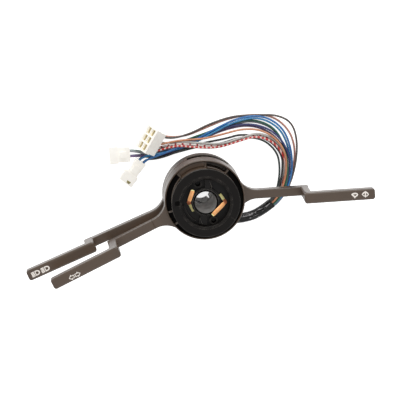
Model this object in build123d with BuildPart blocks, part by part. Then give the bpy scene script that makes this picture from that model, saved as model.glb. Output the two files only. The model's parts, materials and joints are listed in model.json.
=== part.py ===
"""Three-lever combination stalk switch for a steering column.

Millimetres. +Z runs up the column axis towards the steering wheel, z = 0 is the back face of the
clamp neck, and +X points the way the single right-hand lever points.
"""

import os
from math import atan2, cos, degrees, hypot, pi, radians, sin, sqrt, tan

from build123d import *

os.makedirs("parts", exist_ok=True)

# Column clamp and tube
clamp_bore_radius = 10.0
clamp_length = 24.0
neck_radius = 15.0
shaft_bore_radius = 10.3
tube_radius = 12.2
tube_top = 80.4
flange_radius = 24.0
flange_thickness = 3.0
slit_angle = -46.0
slit_width = 2.0
slit_depth = 19.0
ear_thickness = 4.0
ear_height = 12.0
ear_bottom = 4.0
clamp_screw_reach = 20.5
clamp_screw_radius = 2.5
clamp_screw_clearance = 0.15
clamp_head_radius = 4.25
clamp_head_height = 3.4
clamp_nut_across_flats = 8.0
clamp_nut_height = 4.0
locating_hole_radius = 1.7
locating_hole_angle = -106.0
locating_hole_height = 21.5

# Drum rings, stacked up the axis
ring_radius = 38.4
ring_wall = 1.4
rear_ring_height = 10.0
rear_floor = 2.4
lever_level_height = 13.6
front_ring_height = 20.4
crown_rise = 12.9

# Front disc and the recess in its middle
disc_radius = 32.6
disc_thickness = 3.0
disc_rise = 17.0
recess_radius = 22.8
recess_depth = 8.0
core_radius = 30.0

# Fits and gaps
running_gap = 0.05
seat_gap = 0.2

# Inner plates
contact_base_thickness = 1.6
contact_base_radius = ring_radius - 4.4
contact_pad_thickness = 0.6
blade_thickness = 0.5
divider_thickness = 2.4
divider_radius = ring_radius - 2.2
web_thickness = 2.0
web_inner_radius = 24.2
bearing_wall = 1.85

# Assembly screws and their posts
post_reach = 19.2
post_angles = (113.0, 293.0)
post_radius = 3.2
assembly_screw_radius = 1.6
assembly_head_radius = 2.5
assembly_head_height = 2.0
screw_boss_radius = 3.8
screw_boss_height = 2.5
rear_screw_angles = (30.0, 150.0, 225.0)
rear_screw_reach = 20.0
rear_screw_head_radius = 3.0
rear_screw_head_height = 2.0

# Lever carriers on the column tube
hub_radius = 16.0
carrier_reach = hub_radius + 15.0
carrier_half_width = 10.5
carrier_height = 12.8
tongue_width = 7.0
tongue_height = 6.0
tongue_gap = 0.3
pivot_reach = hub_radius + 4.0
pivot_pin_radius = 1.5
return_spring_reach = hub_radius + 11.0
return_spring_radius = 2.2
return_spring_pocket = 2.6
detent_ball_radius = 2.0
detent_reach = hub_radius + 9.0
blade_reach = hub_radius + 8.0
blade_spread = 7.1
detent_offset = 7.2
detent_step = 12.0
spring_wire_radius = 0.3

# Lever sections: bar size and the height that each crank rises
arm_thickness = 10.0
arm_width = 8.4
paddle_width = 10.5
paddle_thickness = 11.0
edge_round = 1.4
tip_round = 2.6
flare_round = 20.0
crank_width = 8.6
tenon_width = 4.4
low_tenon_end = 56.0
stub_end = 54.0
indicator_tenon_end = 64.0

# Each lever: its direction, its sideways offset, where its crank starts and ends, its tip and its rise
indicator_angle = 206.7
indicator_offset = -0.9
indicator_crank = (92.6, 101.2)
indicator_tip = 162.8
indicator_rise = 40.0
indicator_arm_top = 67.0
headlight_angle = 203.8
headlight_offset = -2.2
headlight_crank = (113.2, 122.2)
headlight_tip = 183.4
headlight_rise = 22.0
wiper_angle = 3.2
wiper_offset = -2.0
wiper_crank = (93.8, 101.6)
wiper_tip = 160.8
wiper_rise = 40.0

# Arcs of ring that each lower lever closes, from and to, in degrees about the axis
headlight_band = (114.0, 240.0)
wiper_band = (-45.0, 50.0)
band_height = 9.6
crown_arc = (89.0, 136.0)
crown_recess_arc = (52.0, 89.0)
crown_recess_radius = 27.2
crown_recess_wall = 1.4
ring_rib_angles = (52.0, 89.0, 136.0, 199.0, 220.0)
ring_rib_width = 1.8
turn_limit = 14.0

# Horn contact leaves: foot end, bend and free end, measured from the axis
leaf_thickness = 0.6
leaf_width = 4.7
leaf_foot_height = 4.6
leaf_rise = 4.6
left_leaf = ((-12.0, -8.5), (-16.8, 0.7), (-12.8, 12.9))
right_leaf = ((13.7, 7.9), (18.8, 0.7), (6.1, -11.7))

# Core housing
core_foot_radius = 23.5
core_floor = 3.0
core_cavity_radii = (14.6, 21.0)
core_cavity_arcs = ((128.0, 278.0), (-27.0, 98.0))
core_pocket_arc = (36.0, 107.0)
recess_wall_radius = 24.5
ledge_inner_radius = 20.3
ledge_arc = (190.0, 240.0)
ledge_height = 2.6
tooth_angles = (20.0, 26.0, 32.0)
tooth_rise = 1.5
tooth_width = 1.6
tooth_length = 11.0
leaf_slot_width = 1.8
leaf_slot_depth = 1.5
spigot_depth = 2.2
raised_band_radii = (24.6, 25.4)

# Self-cancelling yoke
yoke_hub_radius = 13.7
yoke_reach = 21.5
yoke_thickness = 2.8
yoke_lobe_arcs = ((74.0, 92.0), (251.0, 272.0))

# Indicator detent and contacts
indicator_detent_angle = 320.0
indicator_detent_reach = 28.6
indicator_bore_bottom = 19.0
indicator_track_radii = (26.0, 29.0)
indicator_bridge_arc = (332.0, 352.0)
indicator_track_arcs = ((318.0, 340.0), (342.0, 366.0))

# Harness: sleeve, wires and connectors
grommet_radius = 6.4
grommet_length = 2.2
sleeve_diameter = 9.8
wire_diameter = 2.0
wire_hole_radius = 1.35
wire_entry = 3.15
wire_wall = 4.6
latch_width = 6.0
sleeve_path = (
    (-2.0, -29.5, 17.0),
    (12.0, -29.5, 17.0),
    (27.0, -29.8, 9.4),
    (43.0, -29.6, 4.95),
    (58.2, -24.6, 4.95),
    (70.3, -14.8, 4.95),
)
# The wires: path points of each, from the end of the sleeve to inside its connector
wire_paths = {
    "wire_dark_grey": (
        (72.7, -17.6, 4.0), (77.4, -13.8, 4.0), (84.3, -2.6, 3.8), (88.9, 15.9, 3.5), (90.0, 37.0, 3.2),
        (85.6, 55.8, 2.9), (74.0, 68.2, 2.6), (55.7, 72.4, 2.2), (32.9, 69.4, 2.0), (9.5, 62.5, 2.0),
        (-8.5, 56.8, 2.8), (-24.1, 52.3, 3.7), (-35.3, 50.5, 5.9), (-39.9, 53.2, 10.4),
    ),
    "wire_pink": (
        (72.1, -16.8, 2.2), (76.7, -13.0, 2.2), (83.4, -1.6, 1.1), (88.0, 16.0, 1.1), (88.1, 35.7, 1.1),
        (81.9, 53.3, 1.1), (68.8, 64.8, 1.1), (49.9, 68.4, 1.1), (27.5, 64.9, 1.1), (4.8, 58.3, 1.1),
        (-12.7, 54.6, 1.1), (-27.8, 52.5, 1.0), (-38.6, 52.5, 1.3), (-43.3, 55.2, 5.8),
    ),
    "wire_blue": (
        (72.1, -16.8, 5.9), (76.7, -13.0, 5.9), (83.7, -0.8, 6.3), (87.1, 18.3, 6.0), (84.7, 39.0, 5.3),
        (75.3, 55.9, 4.6), (59.4, 64.8, 4.0), (38.9, 64.1, 3.4), (16.1, 55.5, 3.0), (-6.7, 44.5, 3.4),
        (-25.3, 38.4, 6.5), (-41.7, 33.5, 8.1), (-53.4, 29.3, 8.0), (-57.5, 24.0, 8.0),
    ),
    "wire_light_blue": (
        (71.4, -16.0, 4.0), (76.1, -12.2, 4.0), (82.5, 0.3, 3.5), (85.1, 19.0, 3.0), (81.9, 39.0, 2.9),
        (71.7, 54.8, 3.0), (55.3, 62.3, 3.4), (34.7, 60.1, 3.5), (12.4, 50.8, 3.3), (-9.9, 41.0, 2.9),
        (-28.2, 37.2, 4.4), (-44.5, 34.5, 6.6), (-57.2, 32.2, 8.0), (-61.3, 27.0, 8.0),
    ),
    "wire_green": (
        (71.4, -16.0, 7.7), (76.1, -12.2, 7.7), (82.0, 0.2, 8.6), (83.1, 19.1, 7.1), (78.5, 39.0, 4.3),
        (67.4, 54.7, 2.1), (50.2, 62.6, 1.1), (29.0, 61.8, 1.0), (6.3, 54.2, 1.1), (-15.6, 44.1, 1.1),
        (-33.3, 38.7, 1.1), (-49.7, 35.8, 1.0), (-64.1, 38.4, 3.2), (-71.6, 37.9, 3.2),
    ),
    "wire_light_grey": (
        (70.7, -15.1, 2.2), (75.4, -11.4, 2.2), (81.3, 1.2, 1.1), (83.1, 19.2, 1.1), (78.6, 37.9, 1.1),
        (67.1, 52.5, 1.1), (49.7, 59.9, 1.1), (28.4, 58.8, 1.1), (5.1, 51.0, 1.0), (-17.6, 41.1, 2.2),
        (-35.7, 36.8, 2.5), (-51.6, 34.8, 3.7), (-64.1, 38.4, 7.8), (-71.6, 37.9, 7.8),
    ),
    "wire_navy": (
        (70.7, -15.1, 5.9), (75.4, -11.4, 5.9), (81.8, 1.7, 5.8), (84.9, 19.9, 5.4), (81.2, 38.5, 5.5),
        (69.5, 52.6, 4.9), (51.4, 58.7, 3.3), (29.5, 56.7, 1.6), (6.2, 48.9, 1.0), (-16.3, 39.5, 1.1),
        (-34.7, 35.6, 1.0), (-51.4, 34.0, 1.3), (-63.8, 33.2, 3.2), (-71.2, 32.7, 3.2),
    ),
    "wire_purple": (
        (70.1, -14.3, 4.0), (74.7, -10.5, 4.0), (80.1, 2.2, 3.5), (81.8, 19.8, 3.2), (77.3, 37.5, 2.9),
        (65.7, 50.6, 2.3), (48.4, 56.0, 1.7), (27.6, 53.4, 1.2), (5.2, 45.5, 1.0), (-16.8, 37.2, 1.7),
        (-35.2, 34.6, 3.4), (-51.7, 33.6, 5.2), (-63.8, 33.2, 7.8), (-71.2, 32.7, 7.8),
    ),
    "wire_orange": (
        (70.1, -14.3, 7.7), (74.7, -10.5, 7.7), (79.2, 0.9, 8.5), (81.0, 16.3, 8.1), (78.8, 32.4, 7.2),
        (71.4, 45.6, 6.4), (58.4, 53.7, 5.9), (41.1, 56.4, 5.8), (21.0, 55.2, 5.6), (0.4, 52.0, 4.8),
        (-15.5, 48.2, 4.3), (-29.3, 44.8, 4.2), (-39.3, 43.6, 5.9), (-43.9, 46.3, 10.4),
    ),
    "wire_white": (
        (69.4, -13.5, 2.2), (74.1, -9.7, 2.2), (78.0, 1.7, 1.1), (80.2, 16.6, 1.1), (77.7, 31.7, 1.2),
        (69.7, 44.0, 2.1), (56.3, 51.1, 3.5), (38.8, 53.0, 5.2), (18.8, 51.4, 6.2), (-1.7, 48.5, 5.2),
        (-17.9, 46.2, 2.5), (-32.1, 45.0, 0.9), (-42.6, 45.5, 1.3), (-47.3, 48.2, 5.8),
    ),
    "wire_red": (
        (69.4, -13.5, 5.9), (74.1, -9.7, 5.9), (78.3, 1.8, 5.7), (80.2, 16.7, 5.3), (77.1, 31.5, 5.0),
        (68.1, 43.0, 5.2), (53.8, 49.1, 6.0), (35.8, 50.0, 7.1), (15.5, 48.1, 8.0), (-4.9, 45.5, 7.7),
        (-20.3, 42.2, 6.1), (-33.6, 38.6, 4.9), (-43.3, 36.7, 5.9), (-47.9, 39.4, 10.4),
    ),
    "wire_dark_red": (
        (68.7, -12.7, 4.0), (73.4, -8.9, 4.0), (76.5, 2.9, 3.2), (77.8, 17.5, 2.5), (74.2, 31.5, 2.3),
        (64.7, 42.0, 2.6), (50.4, 47.3, 3.5), (32.6, 48.4, 4.8), (12.5, 47.6, 5.8), (-8.0, 46.0, 5.6),
        (-23.6, 43.1, 3.0), (-37.0, 40.3, 1.0), (-46.6, 38.6, 1.3), (-51.3, 41.3, 5.8),
    ),
    "wire_black": (
        (68.7, -12.7, 7.7), (73.4, -8.9, 7.7), (76.0, 3.1, 7.7), (76.1, 18.1, 6.2), (71.0, 31.9, 4.4),
        (60.2, 41.4, 2.9), (44.8, 44.9, 2.2), (26.4, 43.6, 2.2), (6.3, 40.0, 2.9), (-13.8, 36.1, 3.9),
        (-29.6, 33.6, 4.1), (-43.4, 31.5, 4.0), (-53.4, 29.3, 3.4), (-57.5, 24.0, 3.4),
    ),
    "wire_dark_green": (
        (68.1, -11.8, 5.9), (72.7, -8.1, 5.9), (74.7, 4.4, 5.1), (74.0, 19.1, 3.9), (68.1, 32.2, 2.7),
        (56.5, 40.2, 1.8), (40.6, 42.3, 1.3), (21.8, 40.3, 1.1), (1.5, 36.8, 1.1), (-18.5, 34.0, 1.1),
        (-34.0, 33.2, 1.7), (-47.5, 32.9, 2.7), (-57.2, 32.2, 3.4), (-61.3, 27.0, 3.4),
    ),
}
# Each connector: centre, width direction, mating direction, size, collar, terminal grid and pocket
connectors = {
    "a": (
        (-48.1, 48.7, 10.5),
        (0.5, 0.866, 0),
        (-0.6634, 0.383, 0.6428),
        (25.4, 16.0, 13.5),
        0.6,
        (3, 2, 8.0, 6.0),
        (6.6, 4.8),
    ),
    "b": (
        (-78.4, 34.8, 5.5),
        (0.0698, -0.9976, 0),
        (-0.9976, -0.0698, 0),
        (17.0, 11.0, 20.0),
        1.0,
        (2, 2, 5.2, 4.6),
        (4.2, 3.4),
    ),
    "c": (
        (-65.5, 17.6, 5.75),
        (0.7905, -0.6124, 0),
        (-0.6124, -0.7905, 0),
        (15.0, 11.5, 26.0),
        2.0,
        (2, 2, 4.8, 4.6),
        (3.8, 3.4),
    ),
}

# Heights worked out from the stack
rear_bottom = clamp_length
flange_bottom = rear_bottom + rear_floor
flange_top = flange_bottom + flange_thickness
base_top = flange_top + contact_base_thickness
pad_top = base_top + contact_pad_thickness
rear_ring_top = rear_bottom + rear_ring_height
front_ring_bottom = rear_ring_top + lever_level_height
front_ring_top = front_ring_bottom + front_ring_height
disc_top = front_ring_top + disc_rise
disc_bottom = disc_top - disc_thickness
recess_floor = disc_top - recess_depth
carrier_bottom = rear_ring_top - 0.4
carrier_top = carrier_bottom + carrier_height
divider_bottom = carrier_top + 0.8
divider_top = divider_bottom + divider_thickness
web_bottom = divider_top + 1.4
web_top = web_bottom + web_thickness
core_bottom = web_top + 0.4
bearing_top = front_ring_top - 2.0
crown_top = front_ring_top + crown_rise
low_arm_top = rear_ring_top + 11.5
low_arm_bottom = low_arm_top - arm_thickness
pivot_height = low_arm_bottom + arm_thickness / 2
bearing_radius = core_radius + running_gap
ring_inner_radius = ring_radius - ring_wall
assembly_head_seat = recess_floor - 6.0
indicator_detent_height = bearing_top - 7.0
indicator_detent_plane = Plane(
    origin=(0, 0, indicator_detent_height),
    x_dir=(0, 0, 1),
    z_dir=(cos(radians(indicator_detent_angle)), sin(radians(indicator_detent_angle)), 0),
)


def polar(reach, angle):
    """The point at this distance from the axis, in this direction."""
    return reach * cos(radians(angle)), reach * sin(radians(angle))


def sector(inner, outer, start, end):
    """A flat ring sector in the open sketch: an arc out, an arc back, and its two ends."""
    middle = (start + end) / 2
    with BuildLine() as outline:
        ThreePointArc(polar(outer, start), polar(outer, middle), polar(outer, end))
        Line(polar(outer, end), polar(inner, end))
        ThreePointArc(polar(inner, end), polar(inner, middle), polar(inner, start))
        Line(polar(inner, start), polar(outer, start))
    make_face(outline.line)


def write(piece, label):
    """Names the finished piece and writes its STEP file."""
    piece.part.label = label
    export_step(piece.part, f"parts/{label}.step")


# Column tube: clamp neck, flange, long tube and the two screw posts, one die casting
with BuildPart() as column_tube:
    Cylinder(neck_radius, clamp_length + rear_floor, align=(Align.CENTER, Align.CENTER, Align.MIN))
    with Locations((0, 0, flange_bottom)):
        Cylinder(flange_radius, flange_thickness, align=(Align.CENTER, Align.CENTER, Align.MIN))
    with Locations((0, 0, flange_top)):
        Cylinder(tube_radius, tube_top - flange_top, align=(Align.CENTER, Align.CENTER, Align.MIN))
    with Locations(*[(*polar(post_reach, a), flange_top) for a in post_angles]):
        Cylinder(post_radius, divider_bottom - flange_top, align=(Align.CENTER, Align.CENTER, Align.MIN))
    ear_plane = Plane.XY.offset(ear_bottom).rotated((0, 0, slit_angle))
    with BuildSketch(ear_plane):
        with Locations((neck_radius - 1.5, 0)):
            Rectangle(
                clamp_screw_reach + 5.5 - neck_radius,
                slit_width + 2 * ear_thickness,
                align=(Align.MIN, Align.CENTER),
            )
    extrude(amount=ear_height)
    with Locations(*[(*polar(post_reach, a), divider_bottom) for a in post_angles]):
        Hole(assembly_screw_radius + running_gap, depth=10.5)
    with Locations((0, 0, clamp_length)):
        Cylinder(
            shaft_bore_radius,
            tube_top - clamp_length,
            align=(Align.CENTER, Align.CENTER, Align.MIN),
            mode=Mode.SUBTRACT,
        )
    Cylinder(
        clamp_bore_radius,
        clamp_length,
        align=(Align.CENTER, Align.CENTER, Align.MIN),
        mode=Mode.SUBTRACT,
    )
    with BuildSketch(Plane.XY.rotated((0, 0, slit_angle))):
        Rectangle(clamp_screw_reach + 12, slit_width, align=(Align.MIN, Align.CENTER))
    extrude(amount=slit_depth, mode=Mode.SUBTRACT)
    screw_centre = (*polar(clamp_screw_reach, slit_angle), ear_bottom + ear_height / 2)
    clamp_screw_plane = Plane(
        origin=screw_centre, x_dir=(0, 0, 1), z_dir=(*polar(1, slit_angle + 90), 0)
    )
    with BuildSketch(clamp_screw_plane.offset(-20)):
        Circle(clamp_screw_radius + clamp_screw_clearance)
    extrude(amount=40, mode=Mode.SUBTRACT)
    with Locations(*[(*polar(rear_screw_reach, a), flange_top) for a in rear_screw_angles]):
        Hole(assembly_screw_radius + running_gap, depth=flange_thickness)
    with BuildSketch(
        Plane(
            origin=(0, 0, locating_hole_height),
            x_dir=(0, 0, 1),
            z_dir=(*polar(1, locating_hole_angle), 0),
        )
    ):
        Circle(locating_hole_radius)
    extrude(amount=neck_radius + 1, mode=Mode.SUBTRACT)
write(column_tube, "column_tube")

# Clamp screw and nut across the ears
ear_span = slit_width / 2 + ear_thickness
with BuildPart() as clamp_screw:
    with BuildSketch(clamp_screw_plane.offset(ear_span)):
        Circle(clamp_head_radius)
    extrude(amount=clamp_head_height)
    chamfer(clamp_screw.faces().sort_by(Axis(screw_centre, clamp_screw_plane.z_dir))[-1].edges(), 0.5)
    with BuildSketch(clamp_screw_plane.offset(ear_span + clamp_head_height - 1.8)):
        RegularPolygon(2.3, 6)
    extrude(amount=1.8, mode=Mode.SUBTRACT)
    with BuildSketch(clamp_screw_plane.offset(-ear_span - clamp_nut_height - 1.2)):
        Circle(clamp_screw_radius)
    extrude(amount=2 * ear_span + clamp_nut_height + 1.2)
write(clamp_screw, "clamp_screw")

with BuildPart() as clamp_nut:
    with BuildSketch(clamp_screw_plane.offset(-ear_span - clamp_nut_height)):
        RegularPolygon(clamp_nut_across_flats / 2, 6, major_radius=False)
        Circle(clamp_screw_radius + running_gap, mode=Mode.SUBTRACT)
    extrude(amount=clamp_nut_height)
write(clamp_nut, "clamp_nut")

# Rear cover: a shallow cup
with BuildPart() as rear_cover:
    with Locations((0, 0, rear_bottom)):
        Cylinder(ring_radius, rear_ring_height, align=(Align.CENTER, Align.CENTER, Align.MIN))
    fillet(rear_cover.edges().group_by(Axis.Z)[0], 1.2)
    with Locations((0, 0, rear_bottom + rear_floor)):
        Cylinder(
            ring_inner_radius,
            rear_ring_height,
            align=(Align.CENTER, Align.CENTER, Align.MIN),
            mode=Mode.SUBTRACT,
        )
    with Locations((0, 0, rear_bottom + rear_floor)):
        Hole(neck_radius + seat_gap, depth=rear_floor + 1)
    with Locations(*[(*polar(rear_screw_reach, a), rear_bottom + rear_floor) for a in rear_screw_angles]):
        Hole(assembly_screw_radius + seat_gap, depth=rear_floor)
write(rear_cover, "rear_cover")

# Cable outlet: a block under the floor of the rear cover, bored sideways for the sleeve
spout_centre = (-0.25, 8.9 - ring_radius, 17.0)
spout_length = 7.5
spout_half_width = 6.6
spout_bore_radius = 5.2
with BuildPart() as cable_outlet:
    with BuildSketch(Plane.XY.offset(rear_bottom)):
        with Locations((spout_centre[0], spout_centre[1])):
            RectangleRounded(spout_length, 2 * spout_half_width, 1.5)
    extrude(amount=spout_centre[2] - spout_half_width - rear_bottom)
    fillet(cable_outlet.edges().group_by(Axis.Z)[0], 1.0)
    with BuildSketch(Plane(origin=spout_centre, x_dir=(0, 1, 0), z_dir=(1, 0, 0)).offset(1.5 - spout_length / 2)):
        Circle(spout_bore_radius)
    extrude(amount=spout_length, mode=Mode.SUBTRACT)
write(cable_outlet, "cable_outlet")

# Three screws that hold the rear cover to the flange
with BuildPart() as rear_screws:
    with Locations(*[(*polar(rear_screw_reach, a), rear_bottom) for a in rear_screw_angles]):
        Cylinder(
            assembly_screw_radius,
            rear_floor + flange_thickness - 0.2,
            align=(Align.CENTER, Align.CENTER, Align.MIN),
        )
        Cylinder(
            rear_screw_head_radius,
            rear_screw_head_height,
            align=(Align.CENTER, Align.CENTER, Align.MAX),
        )
    chamfer(rear_screws.edges().group_by(Axis.Z)[0], 0.6)
write(rear_screws, "rear_screws")

# Contact base plate with its copper tracks
with BuildPart() as contact_base:
    with BuildSketch(Plane.XY.offset(flange_top)):
        Circle(contact_base_radius)
        Circle(tube_radius + seat_gap, mode=Mode.SUBTRACT)
        with Locations(*[polar(post_reach, a) for a in post_angles]):
            Circle(post_radius + seat_gap, mode=Mode.SUBTRACT)
    extrude(amount=contact_base_thickness)
write(contact_base, "contact_base")

track_arcs = {"headlight": (180.0, 228.0), "wiper": (-22.0, 52.0)}
track_rows = tuple((hub_radius + near, hub_radius + near + 2.4) for near in (2.2, 6.4, 10.6))
with BuildPart() as contact_tracks:
    for start, end in track_arcs.values():
        for low, high in track_rows:
            with BuildSketch(Plane.XY.offset(base_top)):
                sector(low, high, start, end)
            extrude(amount=contact_pad_thickness)
write(contact_tracks, "contact_tracks")


def make_carrier(angle, offset, hub_bottom, hub_top):
    """A lever carrier: a hub ring on the tube and a slotted block that holds the pivot pin."""
    flat = Plane.XY.rotated((0, 0, angle))
    with BuildPart() as carrier:
        with BuildSketch(flat.offset(carrier_bottom)):
            with Locations(((hub_radius + carrier_reach) / 2, offset)):
                Rectangle(carrier_reach - hub_radius, 2 * carrier_half_width)
            Circle(carrier_reach, mode=Mode.INTERSECT)
            Circle(hub_radius + 0.4, mode=Mode.SUBTRACT)
        extrude(amount=carrier_height)
        with BuildSketch(Plane.XY.offset(hub_bottom)):
            Circle(hub_radius)
        extrude(amount=hub_top - hub_bottom)
        with BuildSketch(flat.offset(hub_bottom)):
            with Locations((hub_radius - 1, 0)):
                Rectangle(2.4, 2 * carrier_half_width - 3, align=(Align.MIN, Align.CENTER))
        extrude(amount=hub_top - hub_bottom)
        with BuildSketch(Plane.XY.offset(hub_bottom)):
            Circle(tube_radius + running_gap)
        extrude(amount=hub_top - hub_bottom, mode=Mode.SUBTRACT)
        with BuildSketch(flat.offset(carrier_bottom)):
            with Locations((hub_radius + 0.6, offset)):
                Rectangle(
                    carrier_reach - hub_radius,
                    tongue_width + 2 * tongue_gap,
                    align=(Align.MIN, Align.CENTER),
                )
        extrude(amount=carrier_height - 1.8, mode=Mode.SUBTRACT)
        pin_plane = lever_pin_plane(angle, offset)
        with BuildSketch(pin_plane.offset(-carrier_half_width - 1)):
            Circle(pivot_pin_radius)
        extrude(amount=2 * carrier_half_width + 2, mode=Mode.SUBTRACT)
        with BuildSketch(flat.offset(carrier_top)):
            with Locations((detent_reach, offset + detent_offset)):
                Circle(detent_ball_radius + 0.08)
        extrude(amount=-8.4, mode=Mode.SUBTRACT)
    return carrier


def lever_pin_plane(angle, offset):
    """A plane square to the lever's pivot pin, centred on it."""
    flat = Plane.XY.rotated((0, 0, angle))
    centre = flat.from_local_coords((pivot_reach, offset, pivot_height))
    return Plane(origin=centre, x_dir=(0, 0, 1), z_dir=(*polar(1, angle + 90), 0))


def make_pin(angle, offset):
    """The steel pin that a lever tilts on."""
    with BuildPart() as pin:
        with BuildSketch(lever_pin_plane(angle, offset).offset(-carrier_half_width + 0.4)):
            Circle(pivot_pin_radius)
        extrude(amount=2 * carrier_half_width - 0.8)
    return pin


def coil(start, axis_direction, length, coil_radius, turns):
    """A small helical spring from a start point along a direction."""
    with BuildPart() as spring:
        with BuildLine():
            path = Helix(
                pitch=(length - 2 * spring_wire_radius) / turns,
                height=length - 2 * spring_wire_radius,
                radius=coil_radius - spring_wire_radius,
                center=start,
                direction=axis_direction,
            )
        with BuildSketch(Plane(origin=path @ 0, z_dir=path % 0)):
            Circle(spring_wire_radius)
        sweep(path=path, is_frenet=True)
    return spring


def make_detent(angle, offset):
    """The ball of a carrier's detent and the spring behind it."""
    flat = Plane.XY.rotated((0, 0, angle))
    ball_height = divider_bottom + 0.8 - detent_ball_radius
    with BuildPart() as ball:
        with Locations(flat.from_local_coords((detent_reach, offset + detent_offset, ball_height))):
            Sphere(detent_ball_radius)
    foot = carrier_top - 8.4 + spring_wire_radius
    start = flat.from_local_coords((detent_reach, offset + detent_offset, foot))
    spring = coil(start, (0, 0, 1), ball_height - detent_ball_radius - foot + spring_wire_radius, 1.8, 4)
    return ball, spring


def make_blade(angle, offset):
    """The moving copper bridge under a carrier's two cheeks."""
    flat = Plane.XY.rotated((0, 0, angle))
    with BuildPart() as blade:
        for side in (-1, 1):
            with BuildSketch(flat.offset(carrier_bottom - blade_thickness)):
                with Locations((blade_reach, offset + side * blade_spread)):
                    Rectangle(9.0, 3.6)
            extrude(amount=blade_thickness)
            with BuildSketch(flat.offset(pad_top + 0.1)):
                with Locations((blade_reach - 0.6, offset + side * blade_spread)):
                    Rectangle(1.2, 2.4)
            extrude(amount=carrier_bottom - blade_thickness - pad_top - 0.1)
    return blade


for lever_name, lever_angle, lever_offset, hub_low, hub_high in (
    ("headlight", headlight_angle, headlight_offset, carrier_bottom, carrier_bottom + 6.2),
    ("wiper", wiper_angle, wiper_offset, carrier_top - 6.2, carrier_top),
):
    write(make_carrier(lever_angle, lever_offset, hub_low, hub_high), f"{lever_name}_carrier")
    write(make_pin(lever_angle, lever_offset), f"{lever_name}_pivot_pin")
    detent_ball, detent_spring = make_detent(lever_angle, lever_offset)
    write(detent_ball, f"{lever_name}_detent_ball")
    write(detent_spring, f"{lever_name}_detent_spring")
    write(make_blade(lever_angle, lever_offset), f"{lever_name}_contact_bridge")


def flare_arc(reach, offset, side):
    """The hollow arc from the drum to one side of an arm: its root, its middle and its end."""
    edge = offset + side * arm_width / 2
    centre_v = edge + side * flare_round
    centre_u = sqrt((reach + flare_round) ** 2 - centre_v**2)
    root_angle = degrees(atan2(centre_v, centre_u))
    root = polar(reach, root_angle)
    middle_angle = (root_angle + 180 + (270 if side == 1 else 90)) / 2
    swing = polar(flare_round, middle_angle)
    return root, (centre_u + swing[0], centre_v + swing[1]), (centre_u, edge)


def bar_with_flare(angle, offset, top, crank):
    """The arm of a lever in the open part: a bar that flares into the ring round the drum."""
    reach = ring_radius - 0.7
    left_root, left_middle, left_end = flare_arc(reach, offset, 1)
    right_root, right_middle, right_end = flare_arc(reach, offset, -1)
    with BuildSketch(Plane.XY.rotated((0, 0, angle)).offset(top - arm_thickness)) as plan:
        with BuildLine():
            ThreePointArc(left_root, left_middle, left_end)
            Line(left_end, (crank[1], left_end[1]))
            Line((crank[1], left_end[1]), (crank[1], right_end[1]))
            Line((crank[1], right_end[1]), right_end)
            ThreePointArc(right_end, right_middle, right_root)
            ThreePointArc(right_root, (reach, 0), left_root)
        make_face()
    extrude(plan.sketch, amount=arm_thickness)


def lever_crank(angle, offset, top, crank, rise):
    """The upright crank of a lever, in the open part."""
    with BuildSketch(Plane.XY.rotated((0, 0, angle)).offset(top - arm_thickness)) as plan:
        with Locations(((crank[0] + crank[1]) / 2, offset)):
            RectangleRounded(crank[1] - crank[0], crank_width, edge_round)
    extrude(plan.sketch, amount=arm_thickness + rise - edge_round)


def make_paddle(angle, offset, top, crank, rise, tip):
    """The flat paddle that the hand meets, as a part of its own to be joined to the lever."""
    flat = Plane.XY.rotated((0, 0, angle))
    with BuildPart() as paddle:
        with BuildSketch(flat.offset(top + rise - paddle_thickness)):
            with Locations(((crank[0] - 0.2 + tip) / 2, offset)):
                RectangleRounded(tip - crank[0] + 0.2, paddle_width, tip_round)
        extrude(amount=paddle_thickness)
        fillet(paddle.edges().group_by(Axis.Z)[-1] + paddle.edges().group_by(Axis.Z)[0], edge_round)
    return paddle


def make_tenon(angle, offset, height, start, end):
    """A square tenon that ties an arm to the piece it grows from."""
    with BuildPart() as tenon:
        with BuildSketch(Plane.XY.rotated((0, 0, angle)).offset(height - tenon_width / 2)):
            with Locations((start, offset)):
                Rectangle(end - start, tenon_width, align=(Align.MIN, Align.CENTER))
        extrude(amount=tenon_width)
    return tenon


def make_low_tongue(angle, offset):
    """The tongue that carries a lower lever on its pin, with its tenon moulded into the arm."""
    flat = Plane.XY.rotated((0, 0, angle))
    tenon = make_tenon(angle, offset, pivot_height, hub_radius + 6.0, low_tenon_end)
    with BuildPart() as tongue:
        with BuildSketch(flat.offset(pivot_height - tongue_height / 2)):
            with Locations((hub_radius + 1.2, offset)):
                Rectangle(ring_radius - hub_radius, tongue_width, align=(Align.MIN, Align.CENTER))
            Circle(ring_inner_radius, mode=Mode.INTERSECT)
        extrude(amount=tongue_height)
        add(tenon.part)
        with BuildSketch(lever_pin_plane(angle, offset).offset(-tongue_width)):
            Circle(pivot_pin_radius + running_gap)
        extrude(amount=2 * tongue_width, mode=Mode.SUBTRACT)
        with BuildSketch(flat.offset(pivot_height + tongue_height / 2)):
            with Locations((return_spring_reach, offset)):
                Circle(return_spring_pocket)
        extrude(amount=-5.0, mode=Mode.SUBTRACT)
    return tongue


def make_low_lever(angle, offset, crank, rise, tip, band):
    """A lever of the lower level: band of ring, arm, crank and paddle in one moulding."""
    paddle = make_paddle(angle, offset, low_arm_top, crank, rise, tip)
    tenon = make_tenon(angle, offset, pivot_height, hub_radius + 6.0, low_tenon_end)
    with BuildPart() as lever:
        bar_with_flare(angle, offset, low_arm_top, crank)
        lever_crank(angle, offset, low_arm_top, crank, rise)
        add(paddle.part)
        with BuildSketch(Plane.XY.offset(low_arm_top - band_height)):
            sector(ring_inner_radius, ring_radius, *band)
        extrude(amount=band_height)
        with BuildSketch(Plane.XY.offset(low_arm_bottom - 1)):
            Circle(ring_inner_radius)
        extrude(amount=arm_thickness + 2, mode=Mode.SUBTRACT)
        add(tenon.part, mode=Mode.SUBTRACT)
    return lever


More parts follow.
